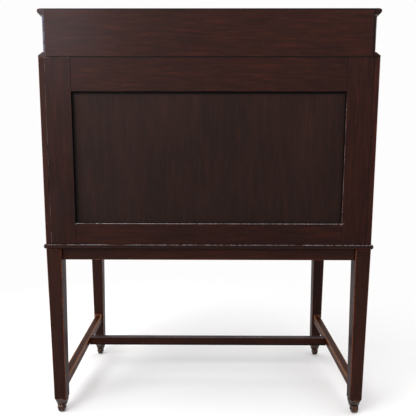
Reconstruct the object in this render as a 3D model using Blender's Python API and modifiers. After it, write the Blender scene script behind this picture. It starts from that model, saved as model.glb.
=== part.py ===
# Writing bureau on a castored stand: slant fall over two long drawers, a drawer box on top.
# Metres, +Z up. The sitter's side faces -Y, the framed back faces +Y, right is +X.
# The origin is on the floor under the middle of the bureau.
import math

import bmesh
import bpy
from mathutils import Matrix, Vector

# Clearances shared by every joint
fit_gap = 0.0003            # between faces that touch on the real bureau
seat = fit_gap / 2          # each board stops this far inside its nominal line
overrun = 0.004             # how far a cutter passes the face it opens
weld_distance = 0.00001
arris = 0.0009              # rubbed corner of the boards
fine_arris = 0.0005

# Carcase
case_width = 0.910
case_depth = 0.540
side_thickness = 0.015
desk_board_thickness = 0.018    # the writing bed and the fall leaf are one stock
dust_board_thickness = 0.012
lower_opening_height = 0.112
upper_opening_height = 0.112
desk_headroom = 0.2455          # bed to the underside of the case top
case_top_thickness = 0.013
case_top_edge_height = 0.004    # upright part of the case top's end, under its bevel
case_top_bevel_width = 0.0125
fall_angle = math.radians(45)
fall_end_gap = 0.001
fall_edge_radius = 0.0025
fall_edge_segments = 2

# Moulded base board between the case and the stand
base_board_thickness = 0.014
bead_projection = 0.0062
bead_segments = 4
bead_radius_share = 0.42        # of the board's thickness

# Framed back
back_frame_thickness = 0.020
back_stile_width = 0.070
back_top_rail_height = 0.088
back_bottom_rail_height = 0.0575
back_panel_thickness = 0.007
back_panel_recess = 0.009       # from the frame's face to the panel's
back_groove_depth = 0.008
back_groove_play = 0.001

# Stand
leg_top_width = 0.042
leg_foot_width = 0.034
leg_length = 0.447
apron_height = 0.032
apron_thickness = 0.018
apron_setback = 0.008
stretcher_width = 0.024
stretcher_height = 0.025
stretcher_rear_top = 0.092      # the side stretchers climb towards the sitter
stretcher_front_top = 0.163
stretcher_shoulder_length = 0.012   # the upturned end against the front leg
stretcher_shoulder_rise = 0.010
cross_stretcher_height = 0.029
cross_stretcher_from_back = 0.320

# Castors
wheel_radius = 0.01275
wheel_width = 0.019
wheel_bore_radius = 0.0024
wheel_groove_share = 0.93       # the tread's waist, of the wheel's radius
wheel_hub_share = 0.80
wheel_shoulder_share = 0.62     # of the wheel's half width
axle_radius = 0.0020
castor_trail = 0.004
fork_side_play = 0.0005
fork_cheek_thickness = 0.0018
fork_cheek_width = 0.011
fork_foot_radius = 0.0046
fork_foot_steps = 8
crown_clearance = 0.0015
crown_thickness = 0.007
crown_top_radius = 0.0170
crown_foot_radius = 0.0157
crown_shoulder_share = 0.22     # of the crown's thickness
pin_radius = 0.003
pin_length = 0.006
pin_play = 0.0004
bell_height = 0.008
bell_top_radius = 0.0182
bell_foot_radius = 0.0167
bell_lip_share = 0.96           # the lip's flat, of the top radius
bell_lip_height_share = 0.14    # of the bell's height, as is the waist
bell_waist_share = 0.35
wheel_segments = 28
small_segments = 14

# Drawers
drawer_play = 0.001             # at each side and above
drawer_front_thickness = 0.018
drawer_wall = 0.008
drawer_bottom = 0.006
drawer_box_drop = 0.010         # the box is this much lower than its front
drawer_joint_overlap = 0.003    # small drawers: how far the box reaches into the front
small_box_inset = 0.0008        # small drawers: from the front's end to the box side
long_drawer_back_room = 0.030   # from its box to the back frame
knob_length = 0.022
knob_radius = 0.0145
knob_root = 0.004
knob_segments = 18
long_knob_inset = 0.195         # from the case side to a long drawer's knob
# Knob profile, from its tip: share of the radius, share of the length
knob_profile_shares = [
    (0, 1),
    (0.62, 0.97),
    (0.93, 0.84),
    (1, 0.66),
    (0.86, 0.48),
    (0.46, 0.34),
    (0.42, 0.14),
    (0.58, 0.04),
]

# Lopers, which carry the open fall
loper_width = 0.022
loper_play = 0.0005
loper_back_room = 0.100
loper_partition_thickness = 0.010
loper_knob_radius = 0.008
loper_knob_length = 0.013

# Drawer box on top
box_side_thickness = 0.010
box_side_setin = 0.0145         # from the case side to the box side
box_height = 0.0915
box_front_setback = 0.0335      # from the case top's front edge to the box
box_back_thickness = 0.012
box_back_lip = 0.0045           # what shows of the box side beside the back board
box_partition_thickness = 0.010
top_board_thickness = 0.0178
top_board_overhang = 0.0127
# Moulded edge, from below: share of the overhang, share of the thickness
top_board_edge_shares = [
    (0, 0),
    (0.34, 0.10),
    (0.80, 0.34),
    (1, 0.58),
    (0.97, 0.76),
    (0.70, 0.93),
    (0.20, 1),
]
top_drawer_back_room = 0.022
top_drawer_front_thickness = 0.014
top_knob_radius = 0.009
top_knob_length = 0.015
top_knob_inset = 0.1075         # from a top drawer's end to its knob

# Pigeonholes inside the fall
nest_board = 0.007
nest_play = 0.0005
nest_fall_room = 0.0275         # from the closed fall to the pigeonholes' top edge
nest_headroom = 0.003
nest_drawer_height = 0.058
nest_well_width = 0.250
pigeonhole_count = 8
nest_drawer_back_room = 0.018
nest_drawer_front_thickness = 0.009
nest_drawer_wall = 0.005
nest_knob_radius = 0.006
nest_knob_length = 0.011

# Brass fittings of the fall
hinge_length = 0.060
hinge_plate_width = 0.022
hinge_plate_thickness = 0.0016
hinge_knuckle_radius = 0.0026
hinge_pin_radius = 0.0010
hinge_middle_share = 0.4
hinge_end_distance = 0.155      # from the leaf's end to a hinge's middle
hinge_segments = 16
lock_width = 0.060
lock_height = 0.040
lock_depth = 0.009
bolt_width = 0.017
bolt_thickness = 0.004
bolt_length = 0.019
bolt_inset = 0.0022
bolt_throw = 0.005
bolt_play = 0.0003

# Heights, stacked from the floor
crown_bottom = 2 * wheel_radius + crown_clearance
crown_top = crown_bottom + crown_thickness
castor_height = crown_top + bell_height
stand_top = castor_height + leg_length
base_top = stand_top + base_board_thickness
dust_bottom = base_top + lower_opening_height
dust_top = dust_bottom + dust_board_thickness
bed_bottom = dust_top + upper_opening_height
bed_top = bed_bottom + desk_board_thickness
case_top_bottom = bed_top + desk_headroom
case_top_top = case_top_bottom + case_top_thickness
box_top = case_top_top + box_height
top_height = box_top + top_board_thickness

# Depths. The back bead and the longest forward reach are the same distance from the origin.
fall_lip = desk_board_thickness * math.sin(fall_angle)
front_reach = max(knob_length, bead_projection, fall_lip)
back_y = (bead_projection + case_depth + front_reach) / 2 - bead_projection
front_y = back_y - case_depth
back_frame_y = back_y - back_frame_thickness

# Widths, as half widths from the middle
case_half = case_width / 2
inner_half = case_half - side_thickness
loper_slot_half = inner_half - loper_width - 2 * loper_play
partition_half = loper_slot_half - loper_partition_thickness
box_half = case_half - box_side_setin
box_inner_half = box_half - box_side_thickness
leg_x = case_half - leg_top_width / 2
leg_back_y = back_y - leg_top_width / 2
leg_front_y = front_y + leg_top_width / 2

# The fall: its hinge line runs where the bed's top meets the front plane
hinge_line = Vector((0, front_y, bed_top))
fall_turn = Matrix.Translation(hinge_line) @ Matrix.Rotation(fall_angle, 4, "X")
fall_rise = desk_headroom + case_top_thickness
fall_length = (fall_rise - desk_board_thickness * math.cos(fall_angle)) / math.sin(fall_angle)

# What the depths leave for the box, the pigeonholes and the sliding pieces
case_top_reach = fall_length + fall_end_gap     # along the slope, from the hinge line
case_top_lip = (fall_rise - case_top_reach * math.sin(fall_angle)) * math.tan(fall_angle)
case_top_front_y = front_y + case_top_reach * math.cos(fall_angle) - case_top_lip
box_front_y = case_top_front_y + box_front_setback
nest_top = case_top_bottom - nest_headroom
nest_front_y = front_y + (nest_top - bed_top) / math.tan(fall_angle) + nest_fall_room
long_drawer_end_y = back_frame_y - long_drawer_back_room
loper_end_y = back_frame_y - loper_back_room
top_drawer_end_y = back_y - box_back_thickness - top_drawer_back_room
nest_drawer_end_y = back_frame_y - nest_drawer_back_room
hinge_x = case_half - hinge_end_distance
long_knob_spacing = case_width - 2 * long_knob_inset
top_knob_spacing = box_inner_half - box_partition_thickness / 2 - 2 * top_knob_inset

mahogany = (0.052, 0.021, 0.016)
mahogany_panel = (0.035, 0.016, 0.013)
mahogany_edge = (0.075, 0.032, 0.022)
oak_lining = (0.28, 0.17, 0.09)
brass = (0.42, 0.27, 0.10)
dark_bronze = (0.10, 0.075, 0.06)
brown_china = (0.13, 0.055, 0.03)

sides = (("left", -1), ("right", 1))
corners = (
    ("rear_left", -leg_x, leg_back_y),
    ("rear_right", leg_x, leg_back_y),
    ("front_left", -leg_x, leg_front_y),
    ("front_right", leg_x, leg_front_y),
)

outline_planes = {
    "XY": Matrix.Identity(4),
    "XZ": Matrix.Rotation(math.pi / 2, 4, "X"),
    "YZ": Matrix.Rotation(math.pi / 2, 4, "Z") @ Matrix.Rotation(math.pi / 2, 4, "X"),
}
plane_normals = {"XY": Vector((0, 0, 1)), "XZ": Vector((0, 1, 0)), "YZ": Vector((1, 0, 0))}
axis_turns = {
    "X": Matrix.Rotation(math.pi / 2, 4, "Y"),
    "Y": Matrix.Rotation(math.pi / 2, 4, "X"),
    "Z": Matrix.Identity(4),
}


def clear_scene():
    for obj in list(bpy.data.objects):
        bpy.data.objects.remove(obj, do_unlink=True)
    for collection in list(bpy.data.collections):
        bpy.data.collections.remove(collection)


def new_collection(name):
    collection = bpy.data.collections.new(name)
    bpy.context.scene.collection.children.link(collection)
    return collection


def link_part(obj):
    bpy.data.collections["writing_bureau"].objects.link(obj)
    return obj


def link_cutter(obj):
    bpy.data.collections["cutters"].objects.link(obj)
    obj.hide_render = True
    obj.display_type = "WIRE"
    return obj


def finish(obj, colour, roughness=0.38, metallic=0):
    material = bpy.data.materials.new(obj.name + "_finish")
    material.use_nodes = True
    shader = material.node_tree.nodes["Principled BSDF"]
    shader.inputs["Base Color"].default_value = (*colour, 1)
    shader.inputs["Roughness"].default_value = roughness
    shader.inputs["Metallic"].default_value = metallic
    obj.data.materials.clear()
    obj.data.materials.append(material)
    return obj


def object_from_bmesh(name, bm):
    mesh = bpy.data.meshes.new(name)
    bm.to_mesh(mesh)
    bm.free()
    return bpy.data.objects.new(name, mesh)


def block(name, low, high):
    size = Vector(high) - Vector(low)
    bm = bmesh.new()
    bmesh.ops.create_cube(bm, size=1)
    bmesh.ops.scale(bm, vec=size, verts=bm.verts)
    obj = object_from_bmesh(name, bm)
    obj.location = (Vector(low) + Vector(high)) / 2
    return obj


def round_edges(obj, width, segments=1):
    bevel = obj.modifiers.new("rounded_edges", "BEVEL")
    bevel.width = width
    bevel.segments = segments
    bevel.limit_method = "ANGLE"
    bevel.use_clamp_overlap = True
    return obj


def board(name, x_span, y_span, z_span, edge=arris):
    # A board between its nominal lines, a hair inside them so that neighbours stay apart
    low = Vector((x_span[0] + seat, y_span[0] + seat, z_span[0] + seat))
    high = Vector((x_span[1] - seat, y_span[1] - seat, z_span[1] - seat))
    return round_edges(link_part(block(name, low, high)), edge)


def prism(name, outline, plane, span):
    # A flat closed outline given thickness between the two ends of span
    curve = bpy.data.curves.new(name, "CURVE")
    curve.dimensions = "2D"
    curve.fill_mode = "BOTH"
    curve.extrude = (span[1] - span[0]) / 2
    spline = curve.splines.new("POLY")
    spline.points.add(len(outline) - 1)
    for point, (across, up) in zip(spline.points, outline):
        point.co = (across, up, 0, 1)
    spline.use_cyclic_u = True
    guide = bpy.data.objects.new(name, curve)
    middle = plane_normals[plane] * (span[0] + span[1]) / 2
    guide.matrix_world = Matrix.Translation(middle) @ outline_planes[plane]
    bpy.context.scene.collection.objects.link(guide)
    bpy.context.view_layer.update()
    depsgraph = bpy.context.evaluated_depsgraph_get()
    mesh = bpy.data.meshes.new_from_object(guide.evaluated_get(depsgraph))
    bm = bmesh.new()
    bm.from_mesh(mesh)
    bmesh.ops.remove_doubles(bm, verts=bm.verts, dist=weld_distance)
    bmesh.ops.recalc_face_normals(bm, faces=bm.faces)
    bm.to_mesh(mesh)
    bm.free()
    place = guide.matrix_world.copy()
    bpy.data.objects.remove(guide, do_unlink=True)
    bpy.data.curves.remove(curve)
    obj = bpy.data.objects.new(name, mesh)
    obj.matrix_world = place
    return obj


def rod(name, radius, length, centre, axis, segments=small_segments):
    bm = bmesh.new()
    bmesh.ops.create_cone(
        bm, cap_ends=True, segments=segments, radius1=radius, radius2=radius, depth=length
    )
    obj = object_from_bmesh(name, bm)
    obj.matrix_world = Matrix.Translation(centre) @ axis_turns[axis]
    return obj


def turned(name, profile, segments, closed=False):
    # A profile of (radius, height) points turned about the object's own Z axis
    mesh = bpy.data.meshes.new(name)
    vertices = [(radius, 0, height) for radius, height in profile]
    edges = [(index, index + 1) for index in range(len(vertices) - 1)]
    if closed:
        edges.append((len(vertices) - 1, 0))
    mesh.from_pydata(vertices, edges, [])
    obj = bpy.data.objects.new(name, mesh)
    screw = obj.modifiers.new("turning", "SCREW")
    screw.steps = segments
    screw.render_steps = segments
    screw.use_merge_vertices = True
    screw.merge_threshold = weld_distance
    screw.use_normal_calculate = True
    return obj


def boolean(obj, tool, operation):
    if tool.name not in bpy.data.collections["cutters"].objects:
        link_cutter(tool)
    modifier = obj.modifiers.new(tool.name, "BOOLEAN")
    modifier.object = tool
    modifier.operation = operation
    modifier.solver = "EXACT"
    return obj


def cut(obj, tool):
    return boolean(obj, tool, "DIFFERENCE")


def join(obj, tool):
    return boolean(obj, tool, "UNION")


def keep_common(obj, tool):
    return boolean(obj, tool, "INTERSECT")


def move_with_tools(obj, place):
    # Moves a piece and the shapes that its booleans use
    obj.matrix_world = place @ obj.matrix_world
    for modifier in obj.modifiers:
        if modifier.type == "BOOLEAN":
            modifier.object.matrix_world = place @ modifier.object.matrix_world
    return obj


def leg_half_width(height):
    # Half of the tapering leg's width at a height above the floor
    share = (height - castor_height) / leg_length
    return (leg_foot_width + share * (leg_top_width - leg_foot_width)) / 2


def slope_height(y):
    # Height of the side's sloping edge at a depth, a hair under the fall
    return bed_top + ((y - front_y) * math.sin(fall_angle) - seat) / math.cos(fall_angle)


def slope_depth(height):
    # Depth of the side's sloping edge at a height
    return front_y + ((height - bed_top) * math.cos(fall_angle) + seat) / math.sin(fall_angle)


def fall_point(along, outward):
    # A point of the closed fall's section as (y, z): along the slope, then outward from it
    y = front_y + along * math.cos(fall_angle) - outward * math.sin(fall_angle)
    z = bed_top + along * math.sin(fall_angle) + outward * math.cos(fall_angle)
    return (y, z)


# The stand

def make_legs():
    for corner, x, y in corners:
        bm = bmesh.new()
        bmesh.ops.create_cone(
            bm,
            cap_ends=True,
            segments=4,
            radius1=leg_foot_width / math.sqrt(2),
            radius2=leg_top_width / math.sqrt(2),
            depth=leg_length - fit_gap,
            matrix=Matrix.Rotation(math.pi / 4, 4, "Z"),
        )
        leg = object_from_bmesh("leg_" + corner, bm)
        leg.location = (x, y, castor_height + leg_length / 2)
        round_edges(link_part(leg), arris)
        finish(leg, mahogany)


def make_aprons():
    inner_x = leg_x - leg_top_width / 2
    outer_x = case_half - apron_setback
    heights = (stand_top - apron_height, stand_top)
    back_face = back_y - apron_setback
    front_face = front_y + apron_setback
    span = (-inner_x, inner_x)
    rear = board("apron_rear", span, (back_face - apron_thickness, back_face), heights)
    front = board("apron_front", span, (front_face, front_face + apron_thickness), heights)
    finish(rear, mahogany)
    finish(front, mahogany)
    depths = (leg_front_y + leg_top_width / 2, leg_back_y - leg_top_width / 2)
    for side, sign in sides:
        widths = sorted((sign * outer_x, sign * (outer_x - apron_thickness)))
        finish(board("apron_" + side, widths, depths, heights), mahogany)


def side_stretcher_top(y):
    rear_face = leg_back_y - leg_half_width(stretcher_rear_top)
    front_face = leg_front_y + leg_half_width(stretcher_front_top)
    share = (rear_face - y) / (rear_face - front_face)
    return stretcher_rear_top + share * (stretcher_front_top - stretcher_rear_top)


def leg_face_point(leg_y, sign, height):
    # A point a hair clear of a leg's tapering face, as (y, z)
    return (leg_y + sign * (leg_half_width(height) + fit_gap), height)


def make_stretchers():
    shoulder_y = leg_front_y + leg_half_width(stretcher_front_top) + stretcher_shoulder_length
    outline = [
        leg_face_point(leg_front_y, 1, stretcher_front_top - stretcher_height),
        leg_face_point(leg_back_y, -1, stretcher_rear_top - stretcher_height),
        leg_face_point(leg_back_y, -1, stretcher_rear_top),
        (shoulder_y, side_stretcher_top(shoulder_y)),
        leg_face_point(leg_front_y, 1, stretcher_front_top + stretcher_shoulder_rise),
    ]
    for side, sign in sides:
        middle = sign * leg_x
        span = (middle - stretcher_width / 2, middle + stretcher_width / 2)
        stretcher = prism("stretcher_" + side, outline, "YZ", span)
        finish(round_edges(link_part(stretcher), arris), mahogany)
    cross_y = back_y - cross_stretcher_from_back
    top = side_stretcher_top(cross_y)
    reach = leg_x - stretcher_width / 2
    cross = board(
        "stretcher_cross",
        (-reach, reach),
        (cross_y - stretcher_width / 2, cross_y + stretcher_width / 2),
        (top - cross_stretcher_height, top),
    )
    finish(cross, mahogany)


# The castors

def bell_profile():
    low = crown_top + fit_gap
    high = castor_height - seat
    bore = pin_radius + pin_play
    waist = low + (high - low) * bell_waist_share
    return [
        (bore, high),
        (bell_top_radius * bell_lip_share, high),
        (bell_top_radius, high - (high - low) * bell_lip_height_share),
        (bell_top_radius * bell_lip_share, high - (high - low) * 2 * bell_lip_height_share),
        (bell_foot_radius, waist),
        (bell_foot_radius, low),
        (bore, low),
    ]


def make_castor_plate(corner, x, y):
    plate = turned("castor_plate_" + corner, bell_profile(), wheel_segments, closed=True)
    plate.location = (x, y, 0)
    finish(link_part(plate), dark_bronze, roughness=0.35, metallic=1)


def crown_profile():
    shoulder = crown_thickness * crown_shoulder_share
    return [
        (0, crown_top),
        (crown_top_radius - shoulder, crown_top),
        (crown_top_radius, crown_top - shoulder),
        (crown_foot_radius, crown_bottom + shoulder),
        (crown_foot_radius - shoulder, crown_bottom),
        (0, crown_bottom),
    ]


def cheek_outline():
    # Side view of one horn: square at the crown, round about the axle, which trails behind
    outline = [
        (-fork_cheek_width / 2, crown_bottom + crown_thickness / 2),
        (fork_cheek_width / 2, crown_bottom + crown_thickness / 2),
    ]
    for step in range(fork_foot_steps + 1):
        angle = -math.pi * step / fork_foot_steps
        across = castor_trail + fork_foot_radius * math.cos(angle)
        outline.append((across, wheel_radius + fork_foot_radius * math.sin(angle)))
    return outline


def make_castor_fork(corner, x, y):
    name = "castor_fork_" + corner
    cheek_inner = wheel_width / 2 + fork_side_play
    cheek_outer = cheek_inner + fork_cheek_thickness
    fork = turned(name, crown_profile(), wheel_segments)
    for side, sign in sides:
        span = sorted((sign * cheek_inner, sign * cheek_outer))
        join(fork, prism(name + "_cheek_" + side, cheek_outline(), "YZ", span))
    axle_length = 2 * cheek_outer + fork_cheek_thickness
    axle_centre = Vector((0, castor_trail, wheel_radius))
    axle = rod(name + "_axle", axle_radius, axle_length, axle_centre, "X")
    join(fork, axle)
    reach = pin_length + crown_thickness / 2
    pin_centre = Vector((0, 0, crown_top + pin_length - reach / 2))
    pin = rod(name + "_pin", pin_radius, reach, pin_centre, "Z")
    join(fork, pin)
    move_with_tools(fork, Matrix.Translation((x, y, 0)))
    finish(link_part(fork), dark_bronze, roughness=0.4, metallic=1)


def make_castor_wheel(corner, x, y):
    half = wheel_width / 2
    shoulder = half * wheel_shoulder_share
    profile = [
        (wheel_bore_radius, half),
        (wheel_radius * wheel_hub_share, half),
        (wheel_radius, shoulder),
        (wheel_radius * wheel_groove_share, 0),
        (wheel_radius, -shoulder),
        (wheel_radius * wheel_hub_share, -half),
        (wheel_bore_radius, -half),
    ]
    wheel = turned("castor_wheel_" + corner, profile, wheel_segments, closed=True)
    place = Matrix.Translation((x, y + castor_trail, wheel_radius))
    wheel.matrix_world = place @ axis_turns["X"]
    finish(link_part(wheel), brown_china, roughness=0.2)


# The carcase

def make_case_sides():
    top = case_top_bottom - seat
    bottom = base_top + seat
    front = front_y + seat
    outline = [
        (front, bottom),
        (back_y - seat, bottom),
        (back_y - seat, top),
        (slope_depth(top), top),
        (front, slope_height(front)),
    ]
    for side, sign in sides:
        span = sorted((sign * (case_half - seat), sign * (inner_half + seat)))
        panel = prism("side_" + side, outline, "YZ", span)
        finish(round_edges(link_part(panel), fine_arris), mahogany)


def make_base_board():
    reach = case_half + bead_projection
    base = board(
        "base_board",
        (-reach, reach),
        (front_y - bead_projection, back_y + bead_projection),
        (stand_top, base_top),
    )
    bead = base.modifiers["rounded_edges"]
    bead.width = base_board_thickness * bead_radius_share
    bead.segments = bead_segments
    finish(base, mahogany_edge)


def make_inner_boards():
    depths = (front_y, back_frame_y)
    inside = (-inner_half, inner_half)
    finish(board("dust_board", inside, depths, (dust_bottom, dust_top)), mahogany)
    for side, sign in sides:
        widths = sorted((sign * loper_slot_half, sign * partition_half))
        finish(board("loper_partition_" + side, widths, depths, (dust_top, bed_bottom)), mahogany)
    bed = board("writing_bed", inside, depths, (bed_bottom, bed_top))
    for side, sign in sides:
        cut_hinge_pocket(bed, "bed_pocket_" + side, sign * hinge_x, Matrix.Identity(4), -1)
    finish(bed, mahogany)


def make_case_top():
    ends = []
    shoulder = case_half - case_top_bevel_width
    edge_top = case_top_bottom + case_top_edge_height
    for sign in (-1, 1):
        ends.append([
            (sign * (case_half - seat), case_top_bottom + seat),
            (sign * (case_half - seat), edge_top),
            (sign * shoulder, case_top_top - seat),
        ])
    end_outline = ends[0] + ends[1][::-1]
    reach = case_top_reach
    upper = (fall_rise - seat - reach * math.sin(fall_angle)) / math.cos(fall_angle)
    lower = (desk_headroom + seat - reach * math.sin(fall_angle)) / math.cos(fall_angle)
    depth_outline = [
        fall_point(reach, lower),
        fall_point(reach, upper),
        (back_y - seat, case_top_top - seat),
        (back_y - seat, case_top_bottom + seat),
    ]
    top = prism("case_top", end_outline, "XZ", (front_y, back_y + overrun))
    depth_shape = prism("case_top_depth", depth_outline, "YZ", (-case_width, case_width))
    keep_common(link_part(top), depth_shape)
    notch_half = box_half - box_back_lip
    notch = block(
        "case_top_notch",
        (-notch_half, back_y - box_back_thickness, case_top_bottom - overrun),
        (notch_half, back_y + overrun, case_top_top + overrun),
    )
    cut(top, notch)
    mortise = block(
        "case_top_mortise",
        (-bolt_width / 2 - bolt_play, fall_length - overrun, bolt_inset - bolt_play),
        (
            bolt_width / 2 + bolt_play,
            reach + bolt_throw + bolt_play,
            bolt_inset + bolt_thickness + bolt_play,
        ),
    )
    mortise.matrix_world = fall_turn @ mortise.matrix_basis
    cut(top, mortise)
    finish(top, mahogany)


def make_back_frame():
    depths = (back_frame_y, back_y)
    opening_half = inner_half - back_stile_width
    rail_heights = {
        "top": (case_top_bottom - back_top_rail_height, case_top_bottom),
        "bottom": (base_top, base_top + back_bottom_rail_height),
    }
    groove_half = opening_half + back_groove_depth
    panel_back = back_y - back_panel_recess
    panel_front = panel_back - back_panel_thickness
    groove_low = rail_heights["bottom"][1] - back_groove_depth
    groove_high = rail_heights["top"][0] + back_groove_depth
    groove = block(
        "back_groove",
        (-groove_half, panel_front - back_groove_play / 2, groove_low),
        (groove_half, panel_back + back_groove_play / 2, groove_high),
    )
    for side, sign in sides:
        widths = sorted((sign * opening_half, sign * inner_half))
        stile = board("back_stile_" + side, widths, depths, (base_top, case_top_bottom), fine_arris)
        finish(cut(stile, groove), mahogany)
    for level, heights in rail_heights.items():
        rail = board("back_rail_" + level, (-opening_half, opening_half), depths, heights, fine_arris)
        finish(cut(rail, groove), mahogany)
    tongue = back_groove_depth - back_groove_play
    panel = board(
        "back_panel",
        (-opening_half - tongue, opening_half + tongue),
        (panel_front, panel_back),
        (rail_heights["bottom"][1] - tongue, rail_heights["top"][0] + tongue),
        fine_arris,
    )
    finish(panel, mahogany_panel)


# The fall, its hinges and its lock

def cut_hinge_pocket(obj, name, x, place, leaf_side):
    # The recess for a hinge plate and its knuckle, in the bed (-1) or in the leaf (1).
    # Bed pockets open upwards from the hinge line, leaf pockets towards the desk.
    half = hinge_length / 2 + fit_gap
    depth = leaf_side * (hinge_plate_thickness + fit_gap)
    origin = Vector((0, 0, 0)) if leaf_side > 0 else hinge_line
    low_z, high_z = sorted((depth, -leaf_side * overrun))
    pocket = block(
        name,
        origin + Vector((x - half, -overrun, low_z)),
        origin + Vector((x + half, hinge_plate_width + fit_gap, high_z)),
    )
    pocket.matrix_world = place @ pocket.matrix_basis
    cut(obj, pocket)
    clearance = rod(
        name + "_knuckle",
        hinge_knuckle_radius + fit_gap,
        2 * half,
        origin + Vector((x, 0, 0)),
        "X",
        hinge_segments,
    )
    clearance.matrix_world = place @ clearance.matrix_world
    cut(obj, clearance)


def make_fall_leaf():
    low = Vector((-case_half + seat, seat, seat))
    high = Vector((case_half - seat, fall_length - seat, desk_board_thickness - seat))
    leaf = block("fall_leaf", low, high)
    place_in_mesh(leaf)
    leaf.matrix_world = fall_turn
    round_edges(link_part(leaf), fall_edge_radius, fall_edge_segments)
    for side, sign in sides:
        cut_hinge_pocket(leaf, "leaf_pocket_" + side, sign * hinge_x, fall_turn, 1)
    pocket = block(
        "lock_pocket",
        (-lock_width / 2 - fit_gap, fall_length - lock_height - fit_gap, -overrun),
        (lock_width / 2 + fit_gap, fall_length + overrun, lock_depth + fit_gap),
    )
    pocket.matrix_world = fall_turn @ pocket.matrix_basis
    cut(leaf, pocket)
    finish(leaf, mahogany)


def place_in_mesh(obj):
    # Moves a block's place from its object into its mesh, so that its origin can be its pivot
    obj.data.transform(obj.matrix_basis)
    obj.matrix_basis = Matrix.Identity(4)
    return obj


def make_hinge(side, x):
    half = hinge_length / 2
    middle_half = half * hinge_middle_share
    knuckle = hinge_knuckle_radius
    outer_length = half - middle_half - seat
    fixed = block(
        "hinge_fixed_" + side,
        (x - half + seat, 0, -hinge_plate_thickness),
        (x + half - seat, hinge_plate_width, -seat),
    )
    moving = block(
        "hinge_moving_" + side,
        (x - half + seat, 0, seat),
        (x + half - seat, hinge_plate_width, hinge_plate_thickness),
    )
    place_in_mesh(fixed)
    place_in_mesh(moving)
    centre = Vector((x, 0, 0))
    room_length = 2 * middle_half
    middle_room = rod("hinge_room_" + side, knuckle + fit_gap, room_length, centre, "X", hinge_segments)
    cut(fixed, middle_room)
    for end, sign in (("a", -1), ("b", 1)):
        end_centre = Vector((x + sign * (half + middle_half + seat) / 2, 0, 0))
        barrel_name = "hinge_barrel_%s_%s" % (side, end)
        join(fixed, rod(barrel_name, knuckle, outer_length, end_centre, "X", hinge_segments))
        room = rod(
            "hinge_end_room_%s_%s" % (side, end),
            knuckle + fit_gap,
            outer_length + 2 * fit_gap,
            end_centre,
            "X",
            hinge_segments,
        )
        room.matrix_world = fall_turn @ room.matrix_world
        cut(moving, room)
    hinge_pin_length = hinge_length - arris
    pin = rod("hinge_pin_" + side, hinge_pin_radius, hinge_pin_length, centre, "X", hinge_segments)
    join(fixed, pin)
    middle_length = 2 * (middle_half - fit_gap)
    middle = rod("hinge_middle_" + side, knuckle, middle_length, centre, "X", hinge_segments)
    middle.matrix_world = fall_turn @ middle.matrix_world
    join(moving, middle)
    bore_radius = hinge_pin_radius + fit_gap
    bore = rod("hinge_bore_" + side, bore_radius, hinge_length, centre, "X", hinge_segments)
    bore.matrix_world = fall_turn @ bore.matrix_world
    cut(moving, bore)
    move_with_tools(fixed, Matrix.Translation(hinge_line))
    moving.matrix_world = fall_turn
    for leaf in (fixed, moving):
        finish(link_part(leaf), brass, roughness=0.3, metallic=1)


def make_lock():
    slot_length = bolt_length + bolt_play + fit_gap
    lock = block(
        "fall_lock",
        (-lock_width / 2, fall_length - lock_height, seat),
        (lock_width / 2, fall_length - seat, lock_depth),
    )
    place_in_mesh(lock)
    lock.matrix_world = fall_turn
    slot = block(
        "bolt_slot",
        (-bolt_width / 2 - bolt_play, fall_length - slot_length, bolt_inset - bolt_play),
        (bolt_width / 2 + bolt_play, fall_length + overrun, bolt_inset + bolt_thickness + bolt_play),
    )
    slot.matrix_world = fall_turn @ slot.matrix_basis
    cut(link_part(lock), slot)
    finish(lock, brass, roughness=0.35, metallic=1)
    bolt_end = fall_length - fit_gap
    bolt = block(
        "fall_bolt",
        (-bolt_width / 2, bolt_end - bolt_length, bolt_inset),
        (bolt_width / 2, bolt_end, bolt_inset + bolt_thickness),
    )
    place_in_mesh(bolt)
    bolt.matrix_world = fall_turn
    finish(link_part(bolt), brass, roughness=0.25, metallic=1)


# Drawers and lopers

def add_knob(obj, name, place, radius, length):
    # A turned knob standing out from a front towards the sitter, rooted in the wood
    profile = [(radius * across, length * along) for across, along in knob_profile_shares]
    root = profile[-1][0]
    profile.append((root, -knob_root))
    profile.append((0, -knob_root))
    knob = turned(name, profile, knob_segments)
    knob.matrix_world = Matrix.Translation(place) @ axis_turns["Y"]
    return join(obj, knob)


def tray(name, x_span, y_span, z_span, wall, bottom):
    # An open drawer box cut from one block
    box = round_edges(link_part(block(
        name,
        (x_span[0], y_span[0], z_span[0]),
        (x_span[1], y_span[1], z_span[1]),
    )), fine_arris)
    inside = block(
        name + "_inside",
        (x_span[0] + wall, y_span[0] + wall, z_span[0] + bottom),
        (x_span[1] - wall, y_span[1] - wall, z_span[1] + overrun),
    )
    return cut(box, inside)


def knob_places(x_span, z_span, face_y, spacing):
    middle_x = (x_span[0] + x_span[1]) / 2
    middle_z = (z_span[0] + z_span[1]) / 2
    offsets = (-spacing / 2, spacing / 2) if spacing else (0,)
    return [Vector((middle_x + offset, face_y, middle_z)) for offset in offsets]


def make_long_drawer(level, half_width, z_span):
    x_span = (-half_width + drawer_play, half_width - drawer_play)
    heights = (z_span[0] + fit_gap, z_span[1] - drawer_play)
    back_of_front = front_y + drawer_front_thickness
    front = round_edges(link_part(block(
        level + "_drawer_front",
        (x_span[0], front_y, heights[0]),
        (x_span[1], back_of_front, heights[1]),
    )), arris)
    for index, place in enumerate(knob_places(x_span, heights, front_y, long_knob_spacing)):
        add_knob(front, "%s_knob_%d" % (level, index), place, knob_radius, knob_length)
    finish(front, mahogany)
    box = tray(
        level + "_drawer_box",
        x_span,
        (back_of_front + fit_gap, long_drawer_end_y),
        (heights[0], heights[1] - drawer_box_drop),
        drawer_wall,
        drawer_bottom,
    )
    finish(box, oak_lining, roughness=0.6)


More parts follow.
